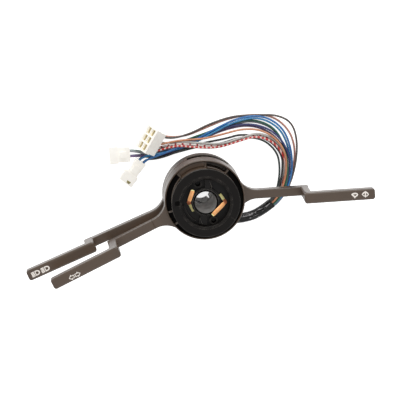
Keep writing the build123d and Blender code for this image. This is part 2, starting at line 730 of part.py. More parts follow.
write(make_low_tongue(headlight_angle, headlight_offset), "headlight_tongue")
write(make_low_tongue(wiper_angle, wiper_offset), "wiper_tongue")


write(
    make_low_lever(headlight_angle, headlight_offset, headlight_crank, headlight_rise, headlight_tip, headlight_band),
    "headlight_lever",
)
write(
    make_low_lever(wiper_angle, wiper_offset, wiper_crank, wiper_rise, wiper_tip, wiper_band),
    "wiper_lever",
)

# Return springs that push the two lower levers back down on their pins
for lever_name, lever_angle, lever_offset in (
    ("headlight", headlight_angle, headlight_offset),
    ("wiper", wiper_angle, wiper_offset),
):
    foot = pivot_height + tongue_height / 2 - 5.0 + spring_wire_radius + 0.05
    start = Plane.XY.rotated((0, 0, lever_angle)).from_local_coords((return_spring_reach, lever_offset, foot))
    spring_length = carrier_top - 1.8 - foot + spring_wire_radius - 0.1
    write(coil(start, (0, 0, 1), spring_length, return_spring_radius, 3.5), f"{lever_name}_return_spring")

# Divider plate over the lower levers, with the groove and the notches of their detents
groove_radius = {
    "headlight": hypot(detent_reach, headlight_offset + detent_offset),
    "wiper": hypot(detent_reach, wiper_offset + detent_offset),
}
groove_centre = divider_bottom + 0.95 - detent_ball_radius
with BuildPart() as divider_plate:
    with BuildSketch(Plane.XY.offset(divider_bottom)):
        Circle(divider_radius)
        Circle(tube_radius + seat_gap, mode=Mode.SUBTRACT)
        with Locations(*[polar(post_reach, a) for a in post_angles]):
            Circle(assembly_screw_radius + seat_gap, mode=Mode.SUBTRACT)
    extrude(amount=divider_thickness)
    with Locations((0, 0, groove_centre)):
        Torus((groove_radius["headlight"] + groove_radius["wiper"]) / 2, detent_ball_radius + 0.15, mode=Mode.SUBTRACT)
    notch_places = []
    for lever_angle, lever_offset, steps in (
        (headlight_angle, headlight_offset, (-1, 0, 1)),
        (wiper_angle, wiper_offset, (0, 1, 2)),
    ):
        lean = degrees(atan2(lever_offset + detent_offset, detent_reach))
        reach = hypot(detent_reach, lever_offset + detent_offset)
        notch_places += [
            (*polar(reach, lever_angle + lean + step * detent_step), groove_centre) for step in steps
        ]
    with Locations(*notch_places):
        Sphere(detent_ball_radius + 0.4, mode=Mode.SUBTRACT)
write(divider_plate, "divider_plate")

# Indicator lever: the arm with its crank and paddle, cut off where it joins the stub of its ring
indicator_arm_middle = indicator_arm_top - arm_thickness / 2
indicator_paddle = make_paddle(
    indicator_angle, indicator_offset, indicator_arm_top, indicator_crank, indicator_rise, indicator_tip
)
indicator_tenon = make_tenon(
    indicator_angle, indicator_offset, indicator_arm_middle, stub_end - 2.0, indicator_tenon_end
)
with BuildPart() as stub_side:
    with BuildSketch(Plane.XY.rotated((0, 0, indicator_angle)).offset(front_ring_bottom)):
        Rectangle(stub_end, 4 * ring_radius, align=(Align.MIN, Align.CENTER))
    extrude(amount=front_ring_height)
with BuildPart() as indicator_lever:
    bar_with_flare(indicator_angle, indicator_offset, indicator_arm_top, indicator_crank)
    add(stub_side.part, mode=Mode.SUBTRACT)
    lever_crank(indicator_angle, indicator_offset, indicator_arm_top, indicator_crank, indicator_rise)
    add(indicator_paddle.part)
    add(indicator_tenon.part, mode=Mode.SUBTRACT)
write(indicator_lever, "indicator_lever")

# Indicator ring: full front ring, inner bearing ring, crown, and the flared stub with its tenon
with BuildPart() as indicator_stub:
    bar_with_flare(indicator_angle, indicator_offset, indicator_arm_top, indicator_crank)
    add(stub_side.part, mode=Mode.INTERSECT)
with BuildPart() as indicator_ring:
    with BuildSketch(Plane.XY.offset(front_ring_bottom)):
        Circle(ring_radius)
        Circle(ring_inner_radius, mode=Mode.SUBTRACT)
    extrude(amount=front_ring_height)
    fillet(indicator_ring.edges().group_by(Axis.Z)[-1].sort_by(SortBy.LENGTH)[-1], 0.8)
    with BuildSketch(Plane.XY.offset(web_bottom)):
        Circle(ring_inner_radius + 0.2)
        Circle(web_inner_radius, mode=Mode.SUBTRACT)
    extrude(amount=web_thickness)
    with BuildSketch(Plane.XY.offset(web_top)):
        Circle(bearing_radius + bearing_wall)
        Circle(bearing_radius, mode=Mode.SUBTRACT)
    extrude(amount=bearing_top - web_top)
    with BuildSketch(Plane.XY.offset(bearing_top)):
        sector(bearing_radius, bearing_radius + bearing_wall, *crown_arc)
    extrude(amount=crown_top - bearing_top)
    with BuildSketch(Plane.XY.offset(web_top)):
        sector(crown_recess_radius, crown_recess_radius + crown_recess_wall, *crown_recess_arc)
    extrude(amount=crown_top - web_top)
    for rib_angle in ring_rib_angles:
        with BuildSketch(Plane.XY.offset(web_top).rotated((0, 0, rib_angle))):
            with Locations((bearing_radius + 0.4, 0)):
                Rectangle(
                    ring_inner_radius + 0.4 - bearing_radius,
                    ring_rib_width,
                    align=(Align.MIN, Align.CENTER),
                )
        extrude(amount=bearing_top - web_top + 0.6)
    for rib_angle in crown_recess_arc:
        with BuildSketch(Plane.XY.offset(web_top).rotated((0, 0, rib_angle))):
            with Locations((crown_recess_radius + 0.2, 0)):
                Rectangle(
                    bearing_radius + bearing_wall - 0.3 - crown_recess_radius,
                    ring_rib_width,
                    align=(Align.MIN, Align.CENTER),
                )
        extrude(amount=crown_top - web_top)
    add(indicator_stub.part)
    add(indicator_tenon.part)
    with Locations((0, 0, indicator_detent_height)):
        Torus(indicator_detent_reach, detent_ball_radius + 0.15, mode=Mode.SUBTRACT)
    with Locations(
        *[
            (*polar(indicator_detent_reach, indicator_detent_angle + step * turn_limit), indicator_detent_height)
            for step in (-1, 0, 1)
        ]
    ):
        Sphere(detent_ball_radius + 0.4, mode=Mode.SUBTRACT)
write(indicator_ring, "indicator_ring")

# Core housing: foot, hollow body, recess with its screw bosses and ledge, and the detent bore
with BuildPart() as core_housing:
    with BuildSketch(Plane.XY.offset(divider_top)):
        Circle(core_foot_radius)
    extrude(amount=core_bottom - divider_top)
    with BuildSketch(Plane.XY.offset(core_bottom)):
        Circle(core_radius)
    extrude(amount=disc_bottom - core_bottom)
    with BuildSketch(Plane.XY.offset(recess_floor)):
        Circle(recess_wall_radius)
    extrude(amount=disc_bottom - recess_floor, mode=Mode.SUBTRACT)
    with Locations(*[(*polar(post_reach, a), recess_floor) for a in post_angles]):
        Cylinder(screw_boss_radius, screw_boss_height, align=(Align.CENTER, Align.CENTER, Align.MIN))
    with BuildSketch(Plane.XY.offset(recess_floor)):
        sector(ledge_inner_radius, recess_wall_radius + 0.2, *ledge_arc)
    extrude(amount=ledge_height)
    for tooth_angle in tooth_angles:
        with BuildSketch(Plane.XY.offset(disc_bottom - tooth_length - 1.0).rotated((0, 0, tooth_angle))):
            with Locations((core_radius - 0.4, 0)):
                Rectangle(tooth_rise + 0.4, tooth_width, align=(Align.MIN, Align.CENTER))
        extrude(amount=tooth_length)
    with BuildSketch(Plane.XY.offset(divider_top)):
        Circle(tube_radius + seat_gap)
    extrude(amount=disc_top - divider_top, mode=Mode.SUBTRACT)
    for start, end in core_cavity_arcs:
        with BuildSketch(Plane.XY.offset(divider_top)):
            sector(*core_cavity_radii, start, end)
        extrude(amount=recess_floor - core_floor - divider_top, mode=Mode.SUBTRACT)
    with BuildSketch(Plane.XY.offset(core_bottom)):
        sector(crown_recess_radius - 0.4, core_radius + 1, *core_pocket_arc)
    extrude(amount=disc_bottom - core_bottom, mode=Mode.SUBTRACT)
    with Locations(*[(*polar(post_reach, a), recess_floor + screw_boss_height) for a in post_angles]):
        CounterBoreHole(
            assembly_screw_radius + seat_gap,
            assembly_head_radius + 0.15,
            recess_floor + screw_boss_height - assembly_head_seat,
        )
    for points in (left_leaf, right_leaf):
        (start_x, start_y), (end_x, end_y), _ = points
        with BuildSketch(Plane.XY.offset(recess_floor)):
            with Locations(((start_x + end_x) / 2, (start_y + end_y) / 2)):
                Rectangle(
                    hypot(end_x - start_x, end_y - start_y) + 1.6,
                    leaf_slot_width,
                    rotation=degrees(atan2(end_y - start_y, end_x - start_x)),
                )
        extrude(amount=-leaf_slot_depth, mode=Mode.SUBTRACT)
    with BuildSketch(indicator_detent_plane.offset(indicator_bore_bottom)):
        Circle(detent_ball_radius + 0.08)
    extrude(amount=core_radius - indicator_bore_bottom + 1, mode=Mode.SUBTRACT)
write(core_housing, "core_housing")

# Two long screws through the core and the divider into the posts of the column tube
with BuildPart() as assembly_screws:
    with Locations(*[(*polar(post_reach, a), assembly_head_seat) for a in post_angles]):
        Cylinder(
            assembly_head_radius, assembly_head_height, align=(Align.CENTER, Align.CENTER, Align.MIN)
        )
        Cylinder(
            assembly_screw_radius,
            assembly_head_seat - divider_bottom + 9.5,
            align=(Align.CENTER, Align.CENTER, Align.MAX),
        )
    chamfer(assembly_screws.edges().group_by(Axis.Z)[-1], 0.4)
    with Locations(*[(*polar(post_reach, a), assembly_head_seat + assembly_head_height) for a in post_angles]):
        Box(3.2, 0.8, 2.2, rotation=(0, 0, 20), mode=Mode.SUBTRACT)
        Box(0.8, 3.2, 2.2, rotation=(0, 0, 20), mode=Mode.SUBTRACT)
write(assembly_screws, "assembly_screws")

# Front cover: the black disc that faces the steering wheel
with BuildPart() as front_cover:
    with BuildSketch(Plane.XY.offset(disc_bottom)):
        Circle(disc_radius)
        Circle(recess_radius, mode=Mode.SUBTRACT)
    extrude(amount=disc_thickness)
    chamfer(front_cover.edges().group_by(Axis.Z)[-1], 0.5)
    with BuildSketch(Plane.XY.offset(disc_bottom - spigot_depth)):
        Circle(recess_wall_radius - 0.1)
        Circle(recess_radius, mode=Mode.SUBTRACT)
    extrude(amount=spigot_depth)
    with BuildSketch(Plane.XY.offset(disc_top)):
        with Locations(polar(27.0, 180.0)):
            RectangleRounded(3.0, 5.0, 0.6)
    extrude(amount=-1.5, mode=Mode.SUBTRACT)
    with BuildSketch(Plane.XY.rotated((0, 0, -30)).offset(disc_top)):
        with Locations((raised_band_radii[1] + 2.1, 0)):
            Rectangle(disc_radius - raised_band_radii[1] - 0.1, 0.8, align=(Align.MIN, Align.CENTER))
    extrude(amount=-0.6, mode=Mode.SUBTRACT)
    with BuildSketch(Plane.XY.offset(disc_top)):
        Circle(raised_band_radii[1])
        Circle(raised_band_radii[0], mode=Mode.SUBTRACT)
    extrude(amount=-0.3, mode=Mode.SUBTRACT)
write(front_cover, "front_cover")

# Self-cancelling yoke that turns on the end of the column tube
with BuildPart() as cancel_yoke:
    with BuildSketch(Plane.XY.offset(recess_floor + 0.2)):
        Circle(yoke_hub_radius)
    extrude(amount=yoke_thickness)
    for start, end in yoke_lobe_arcs:
        with BuildSketch(Plane.XY.offset(recess_floor + 0.2)):
            sector(tube_radius + 0.6, yoke_reach, start, end)
        extrude(amount=yoke_thickness)
    with BuildSketch(Plane.XY.offset(recess_floor + 0.2)):
        Circle(tube_radius + running_gap)
    extrude(amount=yoke_thickness, mode=Mode.SUBTRACT)
write(cancel_yoke, "cancel_yoke")


def make_leaf(points):
    """A horn contact: a foot strip on edge in its slot, and a flat arm that climbs from its top."""
    foot, bend, tip = points
    foot_top = recess_floor - leaf_slot_depth + 0.1 + leaf_foot_height
    foot_run = hypot(bend[0] - foot[0], bend[1] - foot[1])
    arm_run = hypot(tip[0] - bend[0], tip[1] - bend[1])
    foot_angle = degrees(atan2(bend[1] - foot[1], bend[0] - foot[0]))
    arm_angle = degrees(atan2(tip[1] - bend[1], tip[0] - bend[0]))
    with BuildPart() as leaf:
        with BuildSketch(Plane.XY.offset(recess_floor - leaf_slot_depth + 0.1)):
            with Locations(((foot[0] + bend[0]) / 2, (foot[1] + bend[1]) / 2)):
                Rectangle(foot_run, leaf_thickness, rotation=foot_angle)
        extrude(amount=leaf_foot_height)
        with BuildSketch(
            Plane(origin=(*bend, foot_top), x_dir=(*polar(1, arm_angle), 0), z_dir=(*polar(1, arm_angle - 90), 0))
        ):
            Polygon(
                (-leaf_width / 2, 0),
                (2.5, 0),
                (arm_run, leaf_rise),
                (arm_run + 2.0, leaf_rise),
                (arm_run + 2.0, leaf_rise - leaf_thickness),
                (arm_run, leaf_rise - leaf_thickness),
                (2.5, -leaf_thickness),
                (-leaf_width / 2, -leaf_thickness),
                align=None,
            )
        extrude(amount=leaf_width / 2, both=True)
        with Locations(Location((tip[0], tip[1], foot_top + leaf_rise))):
            Sphere(1.3)
    return leaf


write(make_leaf(left_leaf), "horn_contact_left")
write(make_leaf(right_leaf), "horn_contact_right")

# Indicator switch: fixed tracks on the divider and a bridge under the web of the ring
with BuildPart() as indicator_tracks:
    for start, end in indicator_track_arcs:
        with BuildSketch(Plane.XY.offset(divider_top)):
            sector(*indicator_track_radii, start, end)
        extrude(amount=contact_pad_thickness)
write(indicator_tracks, "indicator_tracks")

with BuildPart() as indicator_contact_bridge:
    with BuildSketch(Plane.XY.offset(web_bottom)):
        sector(indicator_track_radii[0] - 0.4, indicator_track_radii[1] + 0.4, *indicator_bridge_arc)
    extrude(amount=-blade_thickness)
    for foot_angle in (indicator_bridge_arc[0] + 2.0, indicator_bridge_arc[1] - 2.0):
        with BuildSketch(Plane.XY.offset(web_bottom - blade_thickness)):
            with Locations(polar(sum(indicator_track_radii) / 2, foot_angle)):
                Circle(1.0)
        extrude(amount=-(web_bottom - blade_thickness - divider_top - contact_pad_thickness - 0.1))
write(indicator_contact_bridge, "indicator_contact_bridge")

# Detent of the indicator ring: a ball in the core that a spring pushes outwards
with BuildPart() as indicator_detent_ball:
    with Locations((*polar(indicator_detent_reach, indicator_detent_angle), indicator_detent_height)):
        Sphere(detent_ball_radius)
write(indicator_detent_ball, "indicator_detent_ball")
detent_spring_start = indicator_bore_bottom + spring_wire_radius
write(
    coil(
        (*polar(detent_spring_start, indicator_detent_angle), indicator_detent_height),
        (*polar(1, indicator_detent_angle), 0),
        indicator_detent_reach - detent_ball_radius - indicator_bore_bottom + 0.1,
        1.8,
        5,
    ),
    "indicator_detent_spring",
)

# Rubber grommet on the mouth of the cable outlet
mouth = spout_centre[0] + spout_length / 2
mouth_plane = Plane(origin=(mouth, spout_centre[1], spout_centre[2]), x_dir=(0, 1, 0), z_dir=(1, 0, 0))
with BuildPart() as cable_grommet:
    with BuildSketch(mouth_plane):
        Circle(grommet_radius)
    extrude(amount=grommet_length)
    fillet(cable_grommet.edges().group_by(Axis.X)[-1], 0.8)
    with BuildSketch(mouth_plane):
        Circle(sleeve_diameter / 2 + running_gap)
    extrude(amount=grommet_length, mode=Mode.SUBTRACT)
write(cable_grommet, "cable_grommet")


def bend_radii(points):
    """The radius of the bend at each inner point of a cord's path."""
    radii = []
    for before, here, after in zip(points, points[1:], points[2:]):
        run_in, run_out = Vector(*here) - Vector(*before), Vector(*after) - Vector(*here)
        half_turn = radians(run_in.get_angle(run_out)) / 2
        radii.append(0.45 * min(run_in.length, run_out.length) / tan(half_turn))
    return radii


def make_cord(points, diameter, label):
    """A round cord along its points, with every corner eased into a bend."""
    radii = bend_radii(points)
    with BuildPart() as cord:
        with BuildLine():
            path = FilletPolyline(*points, radius=radii)
        with BuildSketch(Plane(origin=path @ 0, z_dir=path % 0)):
            Circle(diameter / 2)
        sweep(path=path)
    straight = pi * diameter**2 / 4 * path.length
    print(
        f"{label}: {path.length:.1f} long, tightest bend {min(radii):.1f},",
        f"volume {cord.part.volume / straight:.3f} of section by length",
    )
    write(cord, label)


make_cord(sleeve_path, sleeve_diameter, "harness_sleeve")
for wire_name, wire_path in wire_paths.items():
    make_cord(wire_path, wire_diameter, wire_name)


def make_connector(frame, size, collar, grid, pocket):
    """A nylon connector body: its mating face looks along +Z of the frame, the wires enter behind."""
    width, height, depth = size
    columns, rows, column_pitch, row_pitch = grid
    with BuildPart() as connector:
        with BuildSketch(frame.offset(-depth / 2)):
            RectangleRounded(width - 2 * collar, height - 0.8, 0.8)
        extrude(amount=depth * 0.6)
        with BuildSketch(frame.offset(depth * 0.08)):
            RectangleRounded(width, height, 0.8)
        extrude(amount=depth * 0.42)
        with BuildSketch(frame.offset(-depth * 0.3)):
            with Locations((0, height / 2 - 0.6)):
                Rectangle(latch_width, 1.8, align=(Align.CENTER, Align.MIN))
        extrude(amount=depth * 0.3)
        with BuildSketch(frame.offset(depth / 2)):
            with GridLocations(column_pitch, row_pitch, columns, rows):
                Rectangle(*pocket)
        extrude(amount=-(depth - wire_wall), mode=Mode.SUBTRACT)
        with BuildSketch(frame.offset(-depth / 2)):
            with GridLocations(column_pitch, row_pitch, columns, rows):
                Circle(wire_hole_radius)
        extrude(amount=wire_wall, mode=Mode.SUBTRACT)
    return connector


def make_terminals(frame, size, grid, pocket):
    """The brass terminals of one connector: a box in each pocket and a barrel that meets its wire."""
    depth = size[2]
    columns, rows, column_pitch, row_pitch = grid
    with BuildPart() as terminals:
        with BuildSketch(frame.offset(-depth / 2 + wire_wall)):
            with GridLocations(column_pitch, row_pitch, columns, rows):
                Rectangle(pocket[0] - 0.1, pocket[1] - 0.1)
                Rectangle(pocket[0] - 1.1, pocket[1] - 1.1, mode=Mode.SUBTRACT)
        extrude(amount=depth - wire_wall - 2.0)
        with BuildSketch(frame.offset(-depth / 2 + wire_wall)):
            with GridLocations(column_pitch, row_pitch, columns, rows):
                Rectangle(pocket[0] - 0.1, pocket[1] - 0.1)
        extrude(amount=1.2)
        with BuildSketch(frame.offset(-depth / 2 + wire_entry)):
            with GridLocations(column_pitch, row_pitch, columns, rows):
                Circle(wire_hole_radius - 0.1)
        extrude(amount=wire_wall - wire_entry + 0.4)
    return terminals


for letter, (origin, along, facing, size, collar, grid, pocket) in connectors.items():
    connector_frame = Plane(origin=origin, x_dir=along, z_dir=facing)
    write(make_connector(connector_frame, size, collar, grid, pocket), f"connector_{letter}")
    write(make_terminals(connector_frame, size, grid, pocket), f"terminals_{letter}")
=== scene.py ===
"""Combination stalk switch: finishes, printed symbols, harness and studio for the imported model."""
import json
import math

import bmesh
import bpy
from mathutils import Matrix, Vector, noise


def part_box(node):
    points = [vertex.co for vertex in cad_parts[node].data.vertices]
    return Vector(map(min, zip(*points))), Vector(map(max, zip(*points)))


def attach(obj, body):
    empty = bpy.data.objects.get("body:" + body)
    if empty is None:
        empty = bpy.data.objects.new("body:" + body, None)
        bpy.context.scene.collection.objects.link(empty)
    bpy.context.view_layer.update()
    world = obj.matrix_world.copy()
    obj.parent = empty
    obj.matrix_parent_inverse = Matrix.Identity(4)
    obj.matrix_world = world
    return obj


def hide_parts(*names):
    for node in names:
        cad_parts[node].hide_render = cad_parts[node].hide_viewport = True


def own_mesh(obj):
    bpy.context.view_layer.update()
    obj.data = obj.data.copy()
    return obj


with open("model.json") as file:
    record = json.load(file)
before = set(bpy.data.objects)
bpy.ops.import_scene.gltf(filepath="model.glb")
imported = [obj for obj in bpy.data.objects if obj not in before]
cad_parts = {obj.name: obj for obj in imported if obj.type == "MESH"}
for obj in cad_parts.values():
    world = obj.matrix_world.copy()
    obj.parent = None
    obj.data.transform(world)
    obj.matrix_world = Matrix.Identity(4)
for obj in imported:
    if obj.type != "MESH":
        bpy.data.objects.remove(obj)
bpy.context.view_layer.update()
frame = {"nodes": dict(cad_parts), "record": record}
cad_nodes = frame["nodes"]

mm = 0.001


def add_object(name, data):
    """A new object in the scene."""
    made = bpy.data.objects.new(name, data)
    bpy.context.scene.collection.objects.link(made)
    return made


# The photograph's camera, its focal length in pixels of the square picture
camera_place = Vector((-0.17685, 0.44486, 2.52174))
camera_aim = Vector((-0.004644, 0.0, 0.067674))
focal_pixels, picture_pixels = 2631.6, 400
sensor_width = 36.0
camera_back = (camera_place - camera_aim).normalized()
camera_right = Vector((0, 1, 0)).cross(camera_back).normalized()
camera_up = camera_back.cross(camera_right)
camera = add_object("camera", bpy.data.cameras.new("camera"))
camera.matrix_world = Matrix.Translation(camera_place) @ Matrix(
    (camera_right, camera_up, camera_back)
).transposed().to_4x4()
camera.data.sensor_width = sensor_width
camera.data.lens = sensor_width * focal_pixels / picture_pixels
camera.data.clip_start = 0.05
camera.data.clip_end = 50.0
bpy.context.scene.camera = camera

# The harness: the same route points as the solids have, in metres
sleeve_route = (
    (-0.002, -0.0295, 0.017), (0.012, -0.0295, 0.017), (0.027, -0.0298, 0.0094),
    (0.043, -0.0296, 0.005), (0.0582, -0.0246, 0.005), (0.0703, -0.0148, 0.005),
)
wire_routes = {
    "wire_dark_grey": (
        (0.0727, -0.0176, 0.004), (0.0774, -0.0138, 0.004), (0.0866, -0.0008, 0.0039),
        (0.0932, 0.0208, 0.0037), (0.0952, 0.0446, 0.0035), (0.0898, 0.064, 0.0034),
        (0.0746, 0.0716, 0.0033), (0.0555, 0.0715, 0.0031), (0.0326, 0.0709, 0.0028),
        (0.0094, 0.0634, 0.0024), (-0.0077, 0.0546, 0.0027), (-0.0238, 0.0498, 0.0036),
        (-0.0353, 0.0505, 0.0059), (-0.0399, 0.0532, 0.0104),
    ),
    "wire_pink": (
        (0.0721, -0.0168, 0.0022), (0.0767, -0.013, 0.0022), (0.0844, -0.001, 0.0014),
        (0.0912, 0.0168, 0.0012), (0.0933, 0.037, 0.0011), (0.0875, 0.0562, 0.001),
        (0.071, 0.0704, 0.001), (0.0491, 0.0721, 0.001), (0.0263, 0.0679, 0.001),
        (0.0048, 0.059, 0.0011), (-0.0122, 0.0517, 0.0011), (-0.0278, 0.0502, 0.001),
        (-0.0386, 0.0525, 0.0013), (-0.0433, 0.0552, 0.0058),
    ),
    "wire_blue": (
        (0.0721, -0.0168, 0.0059), (0.0767, -0.013, 0.0059), (0.0849, -0.0014, 0.0061),
        (0.09, 0.0171, 0.006), (0.0887, 0.0391, 0.0057), (0.0804, 0.0598, 0.0055),
        (0.0607, 0.0717, 0.0052), (0.0369, 0.0693, 0.0046), (0.0143, 0.0583, 0.004),
        (-0.0074, 0.0461, 0.0038), (-0.0255, 0.039, 0.006), (-0.0411, 0.0334, 0.0078),
        (-0.0534, 0.0293, 0.008), (-0.0575, 0.024, 0.008),
    ),
    "wire_light_blue": (
        (0.0714, -0.016, 0.004), (0.0761, -0.0122, 0.004), (0.0838, 0.0005, 0.0039),
        (0.0882, 0.0188, 0.0039), (0.0866, 0.0396, 0.0043), (0.0773, 0.0595, 0.0048),
        (0.0562, 0.0704, 0.0054), (0.0323, 0.0655, 0.0055), (0.0105, 0.0536, 0.0049),
        (-0.0105, 0.0424, 0.0038), (-0.0288, 0.037, 0.0042), (-0.0446, 0.034, 0.0062),
        (-0.0572, 0.0322, 0.008), (-0.0613, 0.027, 0.008),
    ),
    "wire_green": (
        (0.0714, -0.016, 0.0077), (0.0761, -0.0122, 0.0077), (0.0831, 0.0007, 0.0081),
        (0.086, 0.0197, 0.0068), (0.0828, 0.0399, 0.0046), (0.0722, 0.0599, 0.0031),
        (0.0498, 0.068, 0.0025), (0.0286, 0.0627, 0.0023), (0.0065, 0.0545, 0.0021),
        (-0.0165, 0.0465, 0.0016), (-0.034, 0.0402, 0.0012), (-0.0491, 0.0347, 0.0013),
        (-0.0641, 0.0384, 0.0032), (-0.0716, 0.0379, 0.0032),
    ),
    "wire_light_grey": (
        (0.0707, -0.0151, 0.0022), (0.0754, -0.0114, 0.0022), (0.0824, 0.0004, 0.0014),
        (0.0862, 0.0185, 0.0012), (0.0837, 0.039, 0.001), (0.0724, 0.0584, 0.001),
        (0.0494, 0.0666, 0.0011), (0.0272, 0.0603, 0.0011), (0.0042, 0.052, 0.0009),
        (-0.0184, 0.0436, 0.0016), (-0.0354, 0.0378, 0.0026), (-0.051, 0.0337, 0.0044),
        (-0.0641, 0.0384, 0.0078), (-0.0716, 0.0379, 0.0078),
    ),
    "wire_navy": (
        (0.0707, -0.0151, 0.0059), (0.0754, -0.0114, 0.0059), (0.0835, 0.0014, 0.0058),
        (0.0884, 0.0198, 0.0061), (0.0844, 0.0398, 0.0066), (0.0719, 0.0557, 0.0063),
        (0.0519, 0.0636, 0.005), (0.0282, 0.0613, 0.0035), (0.0055, 0.0512, 0.0025),
        (-0.0168, 0.042, 0.0021), (-0.0349, 0.0356, 0.0017), (-0.0496, 0.0336, 0.0019),
        (-0.0638, 0.0332, 0.0032), (-0.0712, 0.0327, 0.0032),
    ),
    "wire_purple": (
        (0.0701, -0.0143, 0.004), (0.0747, -0.0105, 0.004), (0.0822, 0.0021, 0.0037),
        (0.0863, 0.0207, 0.0034), (0.0819, 0.0399, 0.0029), (0.0686, 0.0548, 0.0023),
        (0.0488, 0.0619, 0.0017), (0.0263, 0.0582, 0.0013), (0.0034, 0.0489, 0.0009),
        (-0.0175, 0.0395, 0.0012), (-0.0348, 0.0336, 0.0025), (-0.0503, 0.0326, 0.0046),
        (-0.0638, 0.0332, 0.0078), (-0.0712, 0.0327, 0.0078),
    ),
    "wire_orange": (
        (0.0701, -0.0143, 0.0077), (0.0747, -0.0105, 0.0077), (0.0804, 0.0008, 0.0082),
        (0.084, 0.017, 0.0082), (0.0832, 0.034, 0.0078), (0.0745, 0.0486, 0.0076),
        (0.0593, 0.0577, 0.0075), (0.0407, 0.0588, 0.0075), (0.0213, 0.0534, 0.0073),
        (0.0011, 0.0488, 0.0066), (-0.0156, 0.0482, 0.0056), (-0.0295, 0.046, 0.0049),
        (-0.0393, 0.0436, 0.0059), (-0.0439, 0.0463, 0.0104),
    ),
    "wire_white": (
        (0.0694, -0.0135, 0.0022), (0.0741, -0.0097, 0.0022), (0.0795, 0.0017, 0.0019),
        (0.0836, 0.0168, 0.0027), (0.0822, 0.0331, 0.0038), (0.0731, 0.0481, 0.0054),
        (0.0563, 0.0551, 0.0072), (0.0397, 0.0503, 0.0087), (0.0199, 0.0438, 0.0093),
        (-0.0021, 0.0455, 0.0079), (-0.0183, 0.0461, 0.0046), (-0.0318, 0.0447, 0.0017),
        (-0.0426, 0.0455, 0.0013), (-0.0473, 0.0482, 0.0058),
    ),
    "wire_red": (
        (0.0694, -0.0135, 0.0059), (0.0741, -0.0097, 0.0059), (0.0801, 0.0017, 0.0058),
        (0.0841, 0.0167, 0.0059), (0.0812, 0.0334, 0.0063), (0.0702, 0.0464, 0.0068),
        (0.0537, 0.0518, 0.0076), (0.037, 0.0467, 0.0085), (0.0162, 0.0403, 0.009),
        (-0.0051, 0.0411, 0.0085), (-0.0207, 0.0429, 0.0069), (-0.034, 0.0402, 0.0054),
        (-0.0433, 0.0367, 0.0059), (-0.0479, 0.0394, 0.0104),
    ),
    "wire_dark_red": (
        (0.0687, -0.0127, 0.004), (0.0734, -0.0089, 0.004), (0.0778, 0.003, 0.0033),
        (0.0815, 0.0174, 0.0026), (0.0803, 0.0335, 0.0025), (0.0695, 0.049, 0.0034),
        (0.0497, 0.0533, 0.005), (0.0329, 0.0463, 0.0066), (0.0128, 0.0419, 0.0078),
        (-0.0082, 0.0438, 0.0077), (-0.0238, 0.0444, 0.005), (-0.037, 0.0413, 0.002),
        (-0.0466, 0.0386, 0.0013), (-0.0513, 0.0413, 0.0058),
    ),
    "wire_black": (
        (0.0687, -0.0127, 0.0077), (0.0734, -0.0089, 0.0077), (0.0775, 0.0027, 0.0075),
        (0.0803, 0.0179, 0.0063), (0.08, 0.0331, 0.0048), (0.0658, 0.0487, 0.0033),
        (0.0407, 0.0531, 0.0022), (0.0248, 0.0483, 0.0019), (0.0058, 0.0451, 0.0022),
        (-0.0148, 0.0396, 0.003), (-0.0299, 0.0331, 0.0035), (-0.0432, 0.0294, 0.0037),
        (-0.0534, 0.0293, 0.0034), (-0.0575, 0.024, 0.0034),
    ),
    "wire_dark_green": (
        (0.0681, -0.0118, 0.0059), (0.0727, -0.0081, 0.0059), (0.0763, 0.0039, 0.0051),
        (0.078, 0.0192, 0.004), (0.0754, 0.0352, 0.0029), (0.0602, 0.0486, 0.002),
        (0.038, 0.0493, 0.0014), (0.021, 0.0434, 0.0011), (0.0011, 0.0413, 0.001),
        (-0.0182, 0.0366, 0.001), (-0.0339, 0.0321, 0.0014), (-0.0472, 0.0309, 0.0025),
        (-0.0572, 0.0322, 0.0034), (-0.0613, 0.027, 0.0034),
    ),
}


def new_group(name, inputs, outputs):
    """A shader node group with named sockets, and its input and output nodes."""
    group = bpy.data.node_groups.new(name, "ShaderNodeTree")
    for label, kind, default in inputs:
        socket = group.interface.new_socket(name=label, in_out="INPUT", socket_type=kind)
        if default is not None:
            socket.default_value = default
    for label, kind in outputs:
        group.interface.new_socket(name=label, in_out="OUTPUT", socket_type=kind)
    return group, group.nodes.new("NodeGroupInput"), group.nodes.new("NodeGroupOutput")


def node(tree, kind, **settings):
    """A node with its settings; a tuple or number for an input is set, a socket is linked."""
    made = tree.nodes.new(kind)
    for key, value in settings.items():
        if key.startswith("in_"):
            label = key[3:]
            socket = made.inputs[int(label) if label.isdigit() else label.replace("_", " ")]
            if isinstance(value, bpy.types.NodeSocket):
                tree.links.new(value, socket)
            else:
                socket.default_value = value
        else:
            setattr(made, key, value)
    return made


def set_inputs(made, values):
    """Sets the named inputs of a node."""
    for label, value in values.items():
        made.inputs[label].default_value = value


def make_moulded_grain():
    """Fine spark-eroded grain of a moulding, with slow uneven patches; both as values."""
    group, given, result = new_group(
        "moulded_grain",
        [
            ("Vector", "NodeSocketVector", None), ("Grain Size", "NodeSocketFloat", 900.0),
            ("Patch Size", "NodeSocketFloat", 26.0),
        ],
        [("Grain", "NodeSocketFloat"), ("Patches", "NodeSocketFloat")],
    )
    place, fineness = given.outputs["Vector"], given.outputs["Grain Size"]
    cells = node(group, "ShaderNodeTexVoronoi", in_Vector=place, in_Scale=fineness)
    speckle = node(group, "ShaderNodeTexNoise", in_Vector=place, in_Scale=fineness, in_Detail=3.0)
    both = node(
        group, "ShaderNodeMath", operation="ADD", in_0=cells.outputs["Distance"], in_1=speckle.outputs[0]
    )
    patches = node(
        group, "ShaderNodeTexNoise", in_Vector=place, in_Scale=given.outputs["Patch Size"], in_Detail=2.0,
        in_Roughness=0.6,
    )
    group.links.new(both.outputs[0], result.inputs["Grain"])
    group.links.new(patches.outputs[0], result.inputs["Patches"])
    return group


